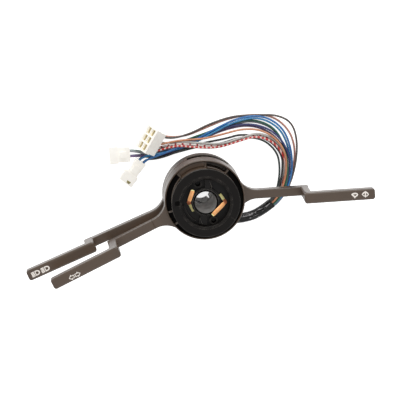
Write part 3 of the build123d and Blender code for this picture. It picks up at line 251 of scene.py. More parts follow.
def make_edge_wear_and_highlight():
    """A mask that is 1 on rounded edges, broken up by noise: rubbed wear, and on the black housing and disc
    also a painted highlight.
    """
    group, given, result = new_group(
        "edge_wear_and_highlight",
        [
            ("Vector", "NodeSocketVector", None), ("Radius", "NodeSocketFloat", 0.0008),
            ("Amount", "NodeSocketFloat", 1.0),
        ],
        [("Mask", "NodeSocketFloat")],
    )
    rounded = node(group, "ShaderNodeBevel", samples=4, in_Radius=given.outputs["Radius"])
    flat = node(group, "ShaderNodeNewGeometry")
    alike = node(
        group, "ShaderNodeVectorMath", operation="DOT_PRODUCT", in_0=rounded.outputs[0],
        in_1=flat.outputs["Normal"],
    )
    bend = node(group, "ShaderNodeMath", operation="SUBTRACT", in_0=1.0, in_1=alike.outputs["Value"])
    gain = node(group, "ShaderNodeMath", operation="MULTIPLY", use_clamp=True, in_0=bend.outputs[0], in_1=7.0)
    rub = node(group, "ShaderNodeTexNoise", in_Vector=given.outputs["Vector"], in_Scale=210.0, in_Detail=4.0)
    spread = node(
        group, "ShaderNodeMapRange", in_Value=rub.outputs[0], in_From_Min=0.35, in_From_Max=0.65
    )
    broken = node(
        group, "ShaderNodeMath", operation="MULTIPLY", in_0=gain.outputs[0], in_1=spread.outputs[0]
    )
    scaled = node(
        group, "ShaderNodeMath", operation="MULTIPLY", use_clamp=True, in_0=broken.outputs[0],
        in_1=given.outputs["Amount"],
    )
    group.links.new(scaled.outputs[0], result.inputs["Mask"])
    return group


def make_two_tones():
    """Mixes a base colour with a second and a third one by two masks; the third is rubbed wear and tracer
    print in some finishes, and painted highlight and painted shade in others.
    """
    grey = (0.5, 0.5, 0.5, 1)
    group, given, result = new_group(
        "two_tones",
        [
            ("Base", "NodeSocketColor", grey), ("Other", "NodeSocketColor", grey),
            ("Rubbed", "NodeSocketColor", grey), ("Patches", "NodeSocketFloat", 0.5),
            ("Wear", "NodeSocketFloat", 0.0),
        ],
        [("Color", "NodeSocketColor")],
    )
    spread = node(
        group, "ShaderNodeMapRange", in_Value=given.outputs["Patches"], in_From_Min=0.35, in_From_Max=0.65
    )
    base = node(
        group, "ShaderNodeMix", data_type="RGBA", in_0=spread.outputs[0], in_6=given.outputs["Base"],
        in_7=given.outputs["Other"],
    )
    third_tone = node(
        group, "ShaderNodeMix", data_type="RGBA", in_0=given.outputs["Wear"], in_6=base.outputs[2],
        in_7=given.outputs["Rubbed"],
    )
    group.links.new(third_tone.outputs[2], result.inputs["Color"])
    return group


moulded_grain = make_moulded_grain()
edge_wear_and_highlight = make_edge_wear_and_highlight()
two_tones = make_two_tones()


def rgba(red, green, blue):
    """A colour given as the eye reads it, 0 to 255, turned to the linear values of a shader."""
    linear = (((c / 255 + 0.055) / 1.055) ** 2.4 if c > 10 else c / 255 / 12.92 for c in (red, green, blue))
    return (*linear, 1.0)


def finish_of(
    name, base, other, third_tone, roughness=(0.4, 0.55), grain_size=900.0, grain=0.1, grain_depth=0.00002,
    patch_size=26.0, wear=0.5, edge_tone_radius=0.0008, metallic=0.0, specular=0.5, soft_edge=0.0,
):
    """A material: two tones in patches, a third tone on its edges (rubbed wear, and on the dark plastics also
    a painted highlight), and grain in its bump and gloss.
    """
    material = bpy.data.materials.new(name)
    material.use_nodes = True
    tree = material.node_tree
    place = node(tree, "ShaderNodeTexCoord").outputs["Object"]
    grains = node(
        tree, "ShaderNodeGroup", node_tree=moulded_grain, in_Vector=place, in_Grain_Size=grain_size,
        in_Patch_Size=patch_size,
    )
    edge_wear_and_highlight_mask = node(
        tree, "ShaderNodeGroup", node_tree=edge_wear_and_highlight, in_Vector=place, in_Radius=edge_tone_radius, in_Amount=wear
    )
    tones = node(
        tree, "ShaderNodeGroup", node_tree=two_tones, in_Base=rgba(*base), in_Other=rgba(*other),
        in_Rubbed=rgba(*third_tone), in_Patches=grains.outputs["Patches"], in_Wear=edge_wear_and_highlight_mask.outputs["Mask"],
    )
    gloss = node(
        tree, "ShaderNodeMapRange", in_Value=grains.outputs["Patches"], in_From_Min=0.3, in_From_Max=0.7,
        in_To_Min=roughness[0], in_To_Max=roughness[1],
    )
    bump = node(
        tree, "ShaderNodeBump", in_Strength=grain, in_Distance=grain_depth, in_Height=grains.outputs["Grain"]
    )
    if soft_edge:
        rounded = node(tree, "ShaderNodeBevel", samples=8, in_Radius=soft_edge)
        tree.links.new(rounded.outputs[0], bump.inputs["Normal"])
    shader = tree.nodes["Principled BSDF"]
    for label, made in (("Base Color", tones), ("Roughness", gloss), ("Normal", bump)):
        tree.links.new(made.outputs[0], shader.inputs[label])
    set_inputs(shader, {"Metallic": metallic, "Specular IOR Level": specular})
    return material


def third_tone_input(material):
    """The input that brings a finish to its third tone, which some finishes use for tracer print, painted
    highlights and painted shade.
    """
    nodes = material.node_tree.nodes
    return next(n for n in nodes if n.type == "GROUP" and n.node_tree == two_tones).inputs["Wear"]


lever_brown = finish_of(
    "lever_brown_grain", (74, 57, 42), (63, 48, 35), (128, 110, 94), roughness=(0.3, 0.4), grain=0.16,
    grain_size=1100.0, wear=0.1, specular=0.6, soft_edge=0.0017,
)
cover_brown = finish_of(
    "cover_brown", (78, 70, 62), (66, 59, 52), (128, 116, 106), roughness=(0.35, 0.45), grain=0.2, wear=0.4,
    specular=0.5, soft_edge=0.0008,
)
# A flat black: the real colour of the tube's end cap, and painted shade where it lines the ring's gap and the
# disc's slot
flat_black_and_painted_shade = finish_of(
    "flat_black_and_painted_shade", (9, 8, 7), (7, 6, 6), (20, 18, 17), roughness=(0.7, 0.8), wear=0.0, specular=0.05
)
# Painted highlight: a light grey for thin glints along the edges of the cancelling yoke
edge_glint_grey = finish_of(
    "edge_glint_grey", (112, 106, 100), (88, 84, 79), (136, 131, 126), roughness=(0.35, 0.5), grain=0.6,
    grain_size=600.0, patch_size=300.0, wear=0.3,
)
dull_brass = finish_of(
    "dull_brass", (158, 148, 98), (112, 104, 70), (196, 188, 140), roughness=(0.35, 0.5), grain=0.5,
    grain_size=700.0, patch_size=500.0, wear=0.2,
)
# Painted highlight: a light grey for thin arcs on the lit side of the disc's rim and on the recess's ledge
rim_highlight_grey = finish_of(
    "rim_highlight_grey", (76, 72, 68), (56, 53, 50), (120, 114, 108), roughness=(0.35, 0.5), grain=0.1, wear=0.2,
    patch_size=130.0, specular=0.3,
)
# Painted highlight: on the black housing and disc, the light tone of the edges stands in for highlights along
# them, as well as for wear
housing_black = finish_of(
    "housing_black", (17, 15, 14), (12, 11, 10), (84, 78, 72), roughness=(0.4, 0.55), grain=0.3,
    wear=0.7, edge_tone_radius=0.0007, specular=0.16,
)
disc_black = finish_of(
    "disc_black_sheen", (20, 17, 15), (13, 11, 10), (112, 106, 100), roughness=(0.34, 0.44), grain=0.2,
    wear=0.5, edge_tone_radius=0.0007, specular=0.12,
)
cast_grey = finish_of(
    "cast_grey", (206, 204, 202), (182, 180, 178), (226, 225, 223), roughness=(0.4, 0.58), grain=0.5,
    grain_size=700.0, grain_depth=0.00005, patch_size=120.0, metallic=0.25, wear=0.4,
)
zinc_steel = finish_of(
    "zinc_steel", (176, 176, 172), (150, 148, 140), (220, 220, 218), roughness=(0.25, 0.4), grain=0.2,
    metallic=1.0, wear=0.6,
)
blacked_steel = finish_of(
    "blacked_steel", (26, 25, 25), (18, 18, 18), (90, 88, 84), roughness=(0.35, 0.5), grain=0.2,
    metallic=0.6, wear=0.5, edge_tone_radius=0.0003,
)
bare_copper = finish_of(
    "bare_copper", (196, 120, 80), (168, 96, 62), (230, 168, 120), roughness=(0.28, 0.42), grain=0.2,
    metallic=1.0,
)
leaf_bronze = finish_of(
    "leaf_bronze", (222, 164, 112), (206, 146, 94), (246, 218, 170), roughness=(0.26, 0.38), grain=0.25,
    metallic=0.85, patch_size=240.0, wear=1.0, edge_tone_radius=0.0004,
)
leaf_fold = finish_of(
    "leaf_fold", (196, 122, 84), (170, 98, 64), (220, 150, 96), roughness=(0.3, 0.42), grain=0.3,
    metallic=0.3, patch_size=300.0, wear=0.8, edge_tone_radius=0.0004,
)
leaf_pale = finish_of(
    "leaf_pale", (246, 238, 172), (230, 220, 146), (252, 248, 206), roughness=(0.28, 0.4), grain=0.25,
    metallic=0.25, patch_size=240.0, wear=0.8, edge_tone_radius=0.0004,
)
tinned_brass = finish_of(
    "tinned_brass", (246, 236, 204), (234, 222, 184), (252, 246, 222), roughness=(0.3, 0.45), grain=0.2,
    specular=0.5,
)
milky_nylon_glowing = finish_of(
    "milky_nylon_glowing", (216, 213, 206), (205, 201, 192), (228, 226, 221), roughness=(0.3, 0.42), grain=0.12,
    grain_size=420.0, patch_size=60.0, wear=0.5, specular=0.5,
)
# Painted light: a faint emission makes the nylon glow, standing in for light that passes through it
set_inputs(milky_nylon_glowing.node_tree.nodes["Principled BSDF"], {
    "Subsurface Weight": 0.25, "Subsurface Radius": (1.0, 1.0, 1.0), "Subsurface Scale": 0.002,
    "Emission Color": (1.0, 0.98, 0.94, 1), "Emission Strength": 0.34,
})
soft_rubber = finish_of(
    "soft_rubber", (26, 26, 26), (32, 31, 30), (58, 56, 54), roughness=(0.6, 0.75), grain=0.3, specular=0.3
)
# Painted highlight: the crests of the sleeve's folds take a light grey tone in place of the lamps' sheen
wrinkled_vinyl = finish_of(
    "wrinkled_vinyl", (13, 13, 13), (19, 19, 19), (196, 194, 196), roughness=(0.2, 0.3), grain=0.4,
    grain_size=420.0, grain_depth=0.0003, patch_size=150.0, wear=0.0, specular=0.22,
)
tree = wrinkled_vinyl.node_tree
fold_map = node(tree, "ShaderNodeUVMap", uv_map="folds")
fold_height = node(tree, "ShaderNodeSeparateXYZ", in_0=fold_map.outputs[0])
crest_highlight = node(
    tree, "ShaderNodeMapRange", in_Value=fold_height.outputs[0], in_From_Min=0.62, in_From_Max=0.9
)
tree.links.new(crest_highlight.outputs[0], third_tone_input(wrinkled_vinyl))

# Painted shade on the tube's casting: dark around the long hole in its front wall and darker towards its
# upper end; its near-white colour is painted light for the wall inside the bore. In metres
hole_x, hole_z = -0.0035, 0.0238
hole_half_width, hole_half_height = 0.0024, 0.009
shade_start, shade_end = 0.048, 0.076
tube_cast = finish_of(
    "tube_cast", (244, 240, 236), (224, 220, 216), (14, 13, 12), roughness=(0.45, 0.6), grain=0.5,
    grain_size=700.0, grain_depth=0.00005, patch_size=120.0, wear=0.0, specular=0.25,
)
tree = tube_cast.node_tree
place = node(tree, "ShaderNodeTexCoord").outputs["Object"]
# Painted shade: a dark ellipse, larger than the hole, around the hole on the front wall only
spot = node(
    tree, "ShaderNodeVectorMath", operation="MULTIPLY_ADD", in_0=place,
    in_1=(1 / hole_half_width, 0.0, 1 / hole_half_height),
    in_2=(-hole_x / hole_half_width, 0.0, -hole_z / hole_half_height),
)
reach = node(tree, "ShaderNodeVectorMath", operation="LENGTH", in_0=spot.outputs[0])
hole_shade = node(
    tree, "ShaderNodeMapRange", in_Value=reach.outputs["Value"], in_From_Min=0.85, in_From_Max=1.1,
    in_To_Min=1.0, in_To_Max=0.0,
)
level = node(tree, "ShaderNodeSeparateXYZ", in_0=place)
front_wall = node(tree, "ShaderNodeMath", operation="LESS_THAN", in_0=level.outputs[1], in_1=-0.005)
front_hole_shade = node(
    tree, "ShaderNodeMath", operation="MULTIPLY", in_0=hole_shade.outputs[0], in_1=front_wall.outputs[0]
)
upper = node(
    tree, "ShaderNodeMapRange", in_Value=level.outputs[2], in_From_Min=shade_start, in_From_Max=shade_end,
    in_To_Max=0.66,
)
dark = node(tree, "ShaderNodeMath", operation="MAXIMUM", in_0=front_hole_shade.outputs[0], in_1=upper.outputs[0])
tree.links.new(dark.outputs[0], third_tone_input(tube_cast))


def paint(node_name, finish):
    """Gives a solid of the model its finish."""
    for place in cad_nodes[node_name].material_slots:
        place.material = finish


finishes = {
    "lever_plastic": lever_brown, "black_housing": housing_black, "black_disc": disc_black,
    "cast_metal": cast_grey, "steel": zinc_steel, "copper": bare_copper, "bronze": leaf_bronze,
    "terminal_brass": tinned_brass, "connector_nylon": milky_nylon_glowing, "grommet_rubber": soft_rubber,
    "sleeve_vinyl": wrinkled_vinyl,
}
for subpart in frame["record"]["subparts"]:
    if subpart["material_slot"] in finishes:
        paint(subpart["node"], finishes[subpart["material_slot"]])
paint("assembly_screws", blacked_steel)
paint("rear_cover", cover_brown)
paint("column_tube", tube_cast)

# Each wire: the plug it ends in, its length, and the two tones of its insulation
wire_diameter = 2.0 * mm
wires = {
    "wire_dark_grey": ("a", 0.2239, (92, 82, 76), (72, 64, 60)),
    "wire_pink": ("a", 0.2193, (206, 150, 132), (186, 128, 112)),
    "wire_blue": ("c", 0.2337, (44, 112, 176), (34, 96, 156)),
    "wire_light_blue": ("c", 0.2308, (58, 136, 182), (44, 112, 162)),
    "wire_green": ("b", 0.2316, (46, 104, 84), (34, 82, 66)),
    "wire_light_grey": ("b", 0.2302, (140, 146, 150), (118, 124, 130)),
    "wire_navy": ("b", 0.2287, (52, 58, 112), (44, 44, 92)),
    "wire_purple": ("b", 0.2239, (106, 84, 124), (86, 66, 104)),
    "wire_orange": ("a", 0.1919, (208, 148, 112), (190, 122, 88)),
    "wire_white": ("a", 0.1922, (196, 194, 188), (172, 168, 164)),
    "wire_red": ("a", 0.1895, (204, 54, 50), (186, 44, 42)),
    "wire_dark_red": ("a", 0.192, (226, 220, 214), (210, 202, 196)),
    "wire_black": ("c", 0.1969, (46, 44, 44), (34, 32, 34)),
    "wire_dark_green": ("c", 0.1935, (58, 70, 66), (44, 56, 52)),
}
# The two wires with tracer marks: the colour of the dashes and their spacing and length
tracers = {
    "wire_dark_red": ((150, 34, 40), {"Scale": 46.0, "Start": 0.8, "End": 0.9}),
    "wire_red": ((236, 206, 198), {"Scale": 78.0, "Start": 0.56, "End": 0.7}),
}


def lay_route(name, points, diameter, resolution=10):
    """A smooth round cord along its route points."""
    line = bpy.data.curves.new(name, "CURVE")
    line.dimensions = "3D"
    line.resolution_u = resolution
    spline = line.splines.new("NURBS")
    spline.points.add(len(points) - 1)
    for place, point in zip(spline.points, points):
        place.co = (*point, 1.0)
    spline.order_u = 3
    spline.use_endpoint_u = True
    line.bevel_depth = diameter / 2
    line.bevel_resolution = 5
    line.use_fill_caps = True
    return add_object(name, line)


def make_trace_dashes():
    """A mask of short dashes across the run of a wire, for its tracer marks."""
    group, given, result = new_group(
        "trace_dashes",
        [
            ("Vector", "NodeSocketVector", None), ("Scale", "NodeSocketFloat", 62.0),
            ("Start", "NodeSocketFloat", 0.52), ("End", "NodeSocketFloat", 0.6),
        ],
        [("Mask", "NodeSocketFloat")],
    )
    bands = node(
        group, "ShaderNodeTexWave", bands_direction="X", in_Vector=given.outputs["Vector"],
        in_Scale=given.outputs["Scale"], in_Distortion=1.5, in_Detail=1.0,
    )
    sharp = node(
        group, "ShaderNodeMapRange", in_Value=bands.outputs["Fac"], in_From_Min=given.outputs["Start"],
        in_From_Max=given.outputs["End"],
    )
    group.links.new(sharp.outputs[0], result.inputs["Mask"])
    return group


trace_dashes = make_trace_dashes()


def insulation(wire_name):
    """Smooth shiny wire insulation, slightly uneven along the wire, with its tracer dashes."""
    _, _, main, other = wires[wire_name]
    dash_colour, dash_sizes = tracers.get(wire_name, (None, None))
    light = dash_colour or tuple(min(255, c + 40) for c in main)
    made = finish_of(
        f"{wire_name}_insulation", main, other, light, roughness=(0.24, 0.36), grain_size=1500.0,
        patch_size=70.0, wear=0.0,
    )
    if dash_sizes:
        tree = made.node_tree
        place = node(tree, "ShaderNodeTexCoord")
        marks = node(tree, "ShaderNodeGroup", node_tree=trace_dashes, in_Vector=place.outputs["Object"])
        set_inputs(marks, dash_sizes)
        tree.links.new(marks.outputs["Mask"], third_tone_input(made))
    return made


for name, points in wire_routes.items():
    wire = lay_route(f"{name}_lead", points, wire_diameter)
    wire.data.materials.append(insulation(name))
    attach(wire, "housing")
    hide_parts(name)


def route_points(points, resolution):
    """Points on the smooth line of a route."""
    guide = lay_route("route_guide", points, 0.0, resolution)
    line = bpy.data.meshes.new_from_object(guide)
    found = [vertex.co.copy() for vertex in line.vertices]
    bpy.data.objects.remove(guide)
    bpy.data.meshes.remove(line)
    return found


def closed_mesh(name, places, faces):
    """A mesh from its corners and faces, every face turned outward."""
    mesh = bpy.data.meshes.new(name)
    mesh.from_pydata(places, [], faces)
    shape = bmesh.new()
    shape.from_mesh(mesh)
    bmesh.ops.recalc_face_normals(shape, faces=shape.faces)
    shape.to_mesh(mesh)
    shape.free()
    return mesh


def wrinkled_tube(name, line, radius, around=72):
    """A thin loose sleeve along a line: long folds that wander, and small creases across."""
    faces, places, folds = [], [], []
    side = Vector((0, 0, 1))
    run = 0.0
    last = len(line) - 1
    for i, point in enumerate(line):
        ahead = (line[min(i + 1, last)] - line[max(i - 1, 0)]).normalized()
        side = (side - ahead * side.dot(ahead)).normalized()
        across = ahead.cross(side)
        if i:
            run += (point - line[i - 1]).length
        for k in range(around):
            turn = 2 * math.pi * k / around
            ring = Vector((math.cos(turn), math.sin(turn), 0))
            fold = 1 - min(1, 3.4 * abs(noise.noise(ring * 2.3 + Vector((0, 0, run * 34)))))
            crease = 1 - min(1, 4.0 * abs(noise.noise(ring * 1.2 + Vector((7, 3, run * 210)))))
            uneven = 0.72 + 0.4 * noise.noise(ring * 3 + Vector((2, 9, run * 160)))
            folds.append(fold * uneven + 0.22 * crease)
            reach = radius * (0.88 + 0.10 * fold + 0.02 * crease)
            places.append(point + (side * math.cos(turn) + across * math.sin(turn)) * reach)
    for i in range(last):
        for k in range(around):
            n = (k + 1) % around
            faces.append((i * around + k, i * around + n, (i + 1) * around + n, (i + 1) * around + k))
    faces.append(tuple(range(around))[::-1])
    faces.append(tuple(range(last * around, (last + 1) * around)))
    mesh = closed_mesh(name, places, faces)
    mesh.polygons.foreach_set("use_smooth", [True] * len(mesh.polygons))
    # The fold heights go into a UV layer, where the sleeve's finish paints highlights on the crests
    layer = mesh.uv_layers.new(name="folds")
    for corner in mesh.loops:
        layer.data[corner.index].uv = (folds[corner.vertex_index], 0.5)
    return add_object(name, mesh)


sleeve_diameter = 9.8 * mm
sleeve_line = route_points(sleeve_route, 60)
sleeve = wrinkled_tube("sleeve_cover", sleeve_line, sleeve_diameter / 2)
sleeve.data.materials.append(wrinkled_vinyl)
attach(sleeve, "housing")
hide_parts("harness_sleeve")


def with_modifiers(thing):
    """The mesh that an object's modifiers make."""
    bpy.context.view_layer.update()
    return bpy.data.meshes.new_from_object(thing.evaluated_get(bpy.context.evaluated_depsgraph_get()))


def make_horn_leaf(name, body, foot, bend, tip):
    """A bent contact strip: its foot on edge, a twisted fold, and a ribbed arm with a narrower tip."""
    foot, bend, tip = (Vector((*point, 0)) for point in (foot, bend, tip))
    foot_way = (bend - foot).normalized()
    arm_way = (tip - bend).normalized()
    up = Vector((0, 0, 1))
    out = Vector((foot_way.y, -foot_way.x, 0))
    if out.dot(foot) < 0:
        out = -out
    level = Vector((-arm_way.y, arm_way.x, 0))
    if level.dot(out) < 0:
        level = -level
    leaning = (up * 0.62 - out * 0.78).normalized()
    run = (tip - bend).length
    # The middle, the way across, the width and the finish at each station from the foot to the tip
    stations = [
        (foot + up * 77.9, leaning, 3.0, leaf_pale),
        (bend - foot_way * 2.6 + up * 77.9, leaning, 3.1, leaf_pale),
        (bend - foot_way * 1.2 + up * 78.5, (leaning - level * 0.5).normalized(), 4.0, leaf_fold),
        (bend + up * 79.4, (leaning * 0.7 - level).normalized(), 3.6, leaf_fold),
        (bend + arm_way * 1.6 + up * 80.3, -level, 3.2, leaf_fold),
        (bend + arm_way * 3.2 + up * 80.7, -level, 3.8, leaf_bronze),
        (bend + arm_way * run * 0.5 + up * 82.1, -level, 3.9, leaf_bronze),
        (bend + arm_way * (run - 2.4) + up * 84.0, -level, 3.8, leaf_bronze),
        (bend + arm_way * (run - 0.9) + up * 84.5, -level, 3.5, leaf_bronze),
        (tip + up * 84.5, -level, 2.4, leaf_pale),
    ]
    rows = (-0.5, -0.32, -0.14, 0.14, 0.32, 0.5)
    rib = (0.0, 0.0, 0.22, 0.22, 0.0, 0.0)
    ribbed_stations = (5, 6, 7)
    last, columns = len(stations) - 1, len(rows)
    places, faces = [], []
    for i, (centre, across, wide, _) in enumerate(stations):
        way = (stations[min(i + 1, last)][0] - stations[max(i - 1, 0)][0]).normalized()
        lift = way.cross(across)
        lift = lift if lift.z > 0 else -lift
        heights = rib if i in ribbed_stations else (0.0,) * columns
        places += [(centre + across * wide * row + lift * high) * mm for row, high in zip(rows, heights)]
    for i in range(last):
        for k in range(columns - 1):
            a = i * columns + k
            faces.append((a, a + 1, a + columns + 1, a + columns))
    mesh = bpy.data.meshes.new(name)
    mesh.from_pydata(places, [], faces)
    tones = (leaf_pale, leaf_fold, leaf_bronze)
    for finish in tones:
        mesh.materials.append(finish)
    for face in mesh.polygons:
        face.material_index = tones.index(stations[face.index // (columns - 1) + 1][3])
        face.use_smooth = True
    leaf = add_object(name, mesh)
    thick = leaf.modifiers.new("thickness", "SOLIDIFY")
    thick.thickness = 0.5 * mm
    thick.offset = 0.0
    soft = leaf.modifiers.new("soft_edges", "BEVEL")
    soft.width = 0.1 * mm
    soft.segments = 2
    soft.limit_method = "ANGLE"
    finished = with_modifiers(leaf)
    leaf.modifiers.clear()
    leaf.data = finished
    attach(leaf, body)
    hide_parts(body)


make_horn_leaf("horn_leaf_left", "horn_contact_left", (-11.6, -9.0), (-16.2, -0.1), (-12.5, 12.7))
make_horn_leaf("horn_leaf_right", "horn_contact_right", (13.5, 7.4), (18.7, 0.0), (5.9, -11.8))


def solid_piece(name, body, finish, places, faces):
    """A closed shape of one finish, moving with a body."""
    mesh = closed_mesh(name, places, faces)
    mesh.materials.append(finish)
    piece = add_object(name, mesh)
    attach(piece, body)


def ring_piece(name, body, finish, radii, heights, arc_degrees=(0, 360), steps=96, edge=0.25):
    """A flat ring or part of one, its top edges eased, in millimetres."""
    start, end = arc_degrees
    whole = end - start >= 360
    inner, outer = radii
    low, high = heights
    profile = [
        (inner, low), (outer, low), (outer, high - edge), (outer - edge, high), (inner + edge, high),
        (inner, high - edge),
    ]
    sides = len(profile)
    places, faces = [], []
    count = steps if whole else steps + 1
    for i in range(count):
        turn = math.radians(start + (end - start) * i / steps)
        places += [(r * mm * math.cos(turn), r * mm * math.sin(turn), z * mm) for r, z in profile]
    for i in range(steps):
        n = (i + 1) % count
        for k in range(sides):
            m = (k + 1) % sides
            faces.append((i * sides + k, n * sides + k, n * sides + m, i * sides + m))
    if not whole:
        faces += [tuple(range(sides)), tuple(range(steps * sides, (steps + 1) * sides))[::-1]]
    solid_piece(name, body, finish, places, faces)


ring_piece("tube_end_cap", "housing", flat_black_and_painted_shade, (10.4, 12.1), (80.41, 80.85))
# Painted shade: a flat black sector in the gap between the ring and the disc, where the gap lies in shadow
ring_piece(
    "shadow_lining", "indicator_lever", flat_black_and_painted_shade, (32.0, 36.9), (62.0, 65.8),
    (136.8, 411.2), 150,
)
# Painted highlights: light grey arcs along part of the disc's rim and the recess's ledge
ring_piece(
    "disc_rim_highlight", "housing", rim_highlight_grey, (32.3, 32.6), (84.6, 85.02), (38, 205), 80, edge=0.1
)
ring_piece(
    "recess_ledge_highlight", "housing", rim_highlight_grey, (20.2, 20.5), (76.9, 77.5), (205, 243), 30, edge=0.1
)
# Painted shade: a flat black patch on the disc stands in for the shadow in a shallow slot that the model
# lacks
ring_piece(
    "disc_slot_painted_shade", "housing", flat_black_and_painted_shade, (25.0, 29.6), (84.9, 85.03), (176.6, 184.6), 12,
    edge=0.01,
)
ring_piece(
    "crown_shelf", "indicator_lever", lever_brown, (31.95, 36.9), (63.6, 66.4),
    (90.8, 134.3), 40,
)


def raised_line(name, body, finish, points, width, low, high):
    """A thin raised edge along a few points, all in millimetres, with a sharp crest."""
    run = [Vector(point) for point in points]
    last = len(run) - 1
    places, faces = [], []
    for i, point in enumerate(run):
        along = (run[min(i + 1, last)] - run[max(i - 1, 0)]).normalized()
        side = Vector((-along.y, along.x)) * width / 2
        for (x, y), z in ((point - side, low), (point, high), (point + side, low)):
            places.append((x * mm, y * mm, z * mm))
    for i in range(0, last * 3, 3):
        for k in range(3):
            m = (k + 1) % 3
            faces.append((i + k, i + 3 + k, i + 3 + m, i + m))
    faces += [(0, 1, 2), (last * 3 + 2, last * 3 + 1, last * 3)]
    solid_piece(name, body, finish, places, faces)


# Painted highlights: light grey ridges along the yoke's arms stand in for glints on their edges
raised_line(
    "yoke_upper_edge_glint", "cancel_yoke", edge_glint_grey, ((3.7, 20.4), (5.6, 15.0), (4.7, 11.4)),
    0.5, 79.8, 80.3,
)
raised_line(
    "yoke_lower_edge_glint", "cancel_yoke", edge_glint_grey, ((-5.8, -15.4), (-3.2, -21.3)),
    0.45, 79.8, 80.25,
)


def make_open_terminal():
    """The end of a blade that lies bare in plug c, let into its upper face."""
    shell = cad_nodes["connector_c"]
    corners = []
    for x, y in ((-71.3, 10.3), (-67.6, 7.8), (-69.9, 6.2), (-72.0, 7.9)):
        hit, place, _, _ = shell.ray_cast(Vector((x * mm, y * mm, 0.03)), Vector((0, 0, -1)))
        if hit:
            corners.append(place)
    count = len(corners)
    sunk, proud = Vector((0, 0, -0.3 * mm)), Vector((0, 0, 0.08 * mm))
    places = [place + sunk for place in corners] + [place + proud for place in corners]
    lower, upper = tuple(range(count)), tuple(range(count, 2 * count))
    walls = [(k, (k + 1) % count, count + (k + 1) % count, count + k) for k in range(count)]
    solid_piece(
        "open_terminal", "housing", dull_brass, places, [upper, lower[::-1], *walls]
    )


make_open_terminal()


def make_wound_spring():
    """Geometry nodes that wind a round wire into a coil, with the socket names of its sizes."""
    tree = bpy.data.node_groups.new("wound_spring", "GeometryNodeTree")
    names = ("Turns", "Coil Radius", "Height", "Wire Radius")
    sockets = {
        name: tree.interface.new_socket(name, in_out="INPUT", socket_type="NodeSocketFloat").identifier
        for name in names
    }
    tree.interface.new_socket("Spring", in_out="OUTPUT", socket_type="NodeSocketGeometry")
    sizes = tree.nodes.new("NodeGroupInput")
    coil = node(
        tree, "GeometryNodeCurveSpiral", in_Resolution=40, in_Rotations=sizes.outputs["Turns"],
        in_Start_Radius=sizes.outputs["Coil Radius"], in_End_Radius=sizes.outputs["Coil Radius"],
        in_Height=sizes.outputs["Height"],
    )
    wire = node(
        tree, "GeometryNodeCurvePrimitiveCircle", in_Resolution=12, in_Radius=sizes.outputs["Wire Radius"]
    )
    sweep = node(
        tree, "GeometryNodeCurveToMesh", in_Curve=coil.outputs["Curve"],
        in_Profile_Curve=wire.outputs["Curve"], in_Fill_Caps=True,
    )
    whole = node(tree, "GeometryNodeRealizeInstances", in_Geometry=sweep.outputs["Mesh"])
    steel = node(
        tree, "GeometryNodeSetMaterial", in_Geometry=whole.outputs["Geometry"], in_Material=zinc_steel
    )
    node(tree, "NodeGroupOutput", in_Spring=steel.outputs["Geometry"])
    return tree, sockets


wound_spring, spring_sockets = make_wound_spring()
spring_wire_radius = 0.3 * mm
spring_end_room = 1.2 * spring_wire_radius


def make_pressed_spring(lever_name):
    """A lever's return spring, wound to the size of its pocket and carried with the lever."""
    low, high = (Vector(corner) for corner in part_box(f"{lever_name}_return_spring"))
    middle = (low + high) / 2
    blank = add_object("spring_blank", bpy.data.meshes.new("spring_blank"))
    winding = blank.modifiers.new("winding", "NODES")
    winding.node_group = wound_spring
    winding[spring_sockets["Turns"]] = 3.5
    winding[spring_sockets["Coil Radius"]] = (high.x - low.x) / 2 - spring_wire_radius
    winding[spring_sockets["Height"]] = high.z - low.z - 2 * spring_end_room
    winding[spring_sockets["Wire Radius"]] = spring_wire_radius
    mesh = with_modifiers(blank)
    bpy.data.objects.remove(blank)
    mesh.transform(Matrix.Translation((middle.x, middle.y, low.z + spring_end_room)))
    for face in mesh.polygons:
        face.use_smooth = True
    spring = add_object(f"{lever_name}_pull_spring", mesh)
    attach(spring, f"{lever_name}_carrier")
    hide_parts(f"{lever_name}_return_spring")
    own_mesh(spring)


make_pressed_spring("headlight")
make_pressed_spring("wiper")

# The paint of the printed symbols
print_white = finish_of(
    "symbol_print", (244, 238, 230), (234, 226, 218), (250, 246, 240), roughness=(0.5, 0.6), wear=0.0
)


def arc(centre_u, centre_v, radius_u, radius_v, start, end, steps=14):
    """Points on part of an ellipse, angles in degrees."""
    return [
        (
            centre_u + radius_u * math.cos(math.radians(start + (end - start) * i / steps)),
            centre_v + radius_v * math.sin(math.radians(start + (end - start) * i / steps)),
        )
        for i in range(steps + 1)
    ]


def print_symbol(name, body, angle, top, loops):
    """Flat outlines, holes included, made a thin layer of paint on the top of a paddle."""
    drawn = bpy.data.curves.new(name, "CURVE")
    drawn.dimensions = "2D"
    drawn.fill_mode = "BOTH"
    drawn.extrude = 0.03 * mm
    for loop in loops:
        spline = drawn.splines.new("POLY")
        spline.points.add(len(loop) - 1)
        for place, (u, v) in zip(spline.points, loop):
            place.co = (u * mm, v * mm, 0, 1)
        spline.use_cyclic_u = True
    sketch = bpy.data.objects.new(name + "_outline", drawn)
    mesh = bpy.data.meshes.new_from_object(sketch)
    lift = Matrix.Translation((0, 0, (top + 0.02) * mm))
    mesh.transform(lift @ Matrix.Rotation(math.radians(angle), 4, "Z"))
    bpy.data.objects.remove(sketch)
    mesh.materials.clear()
    mesh.materials.append(print_white)
    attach(add_object(name, mesh), body)


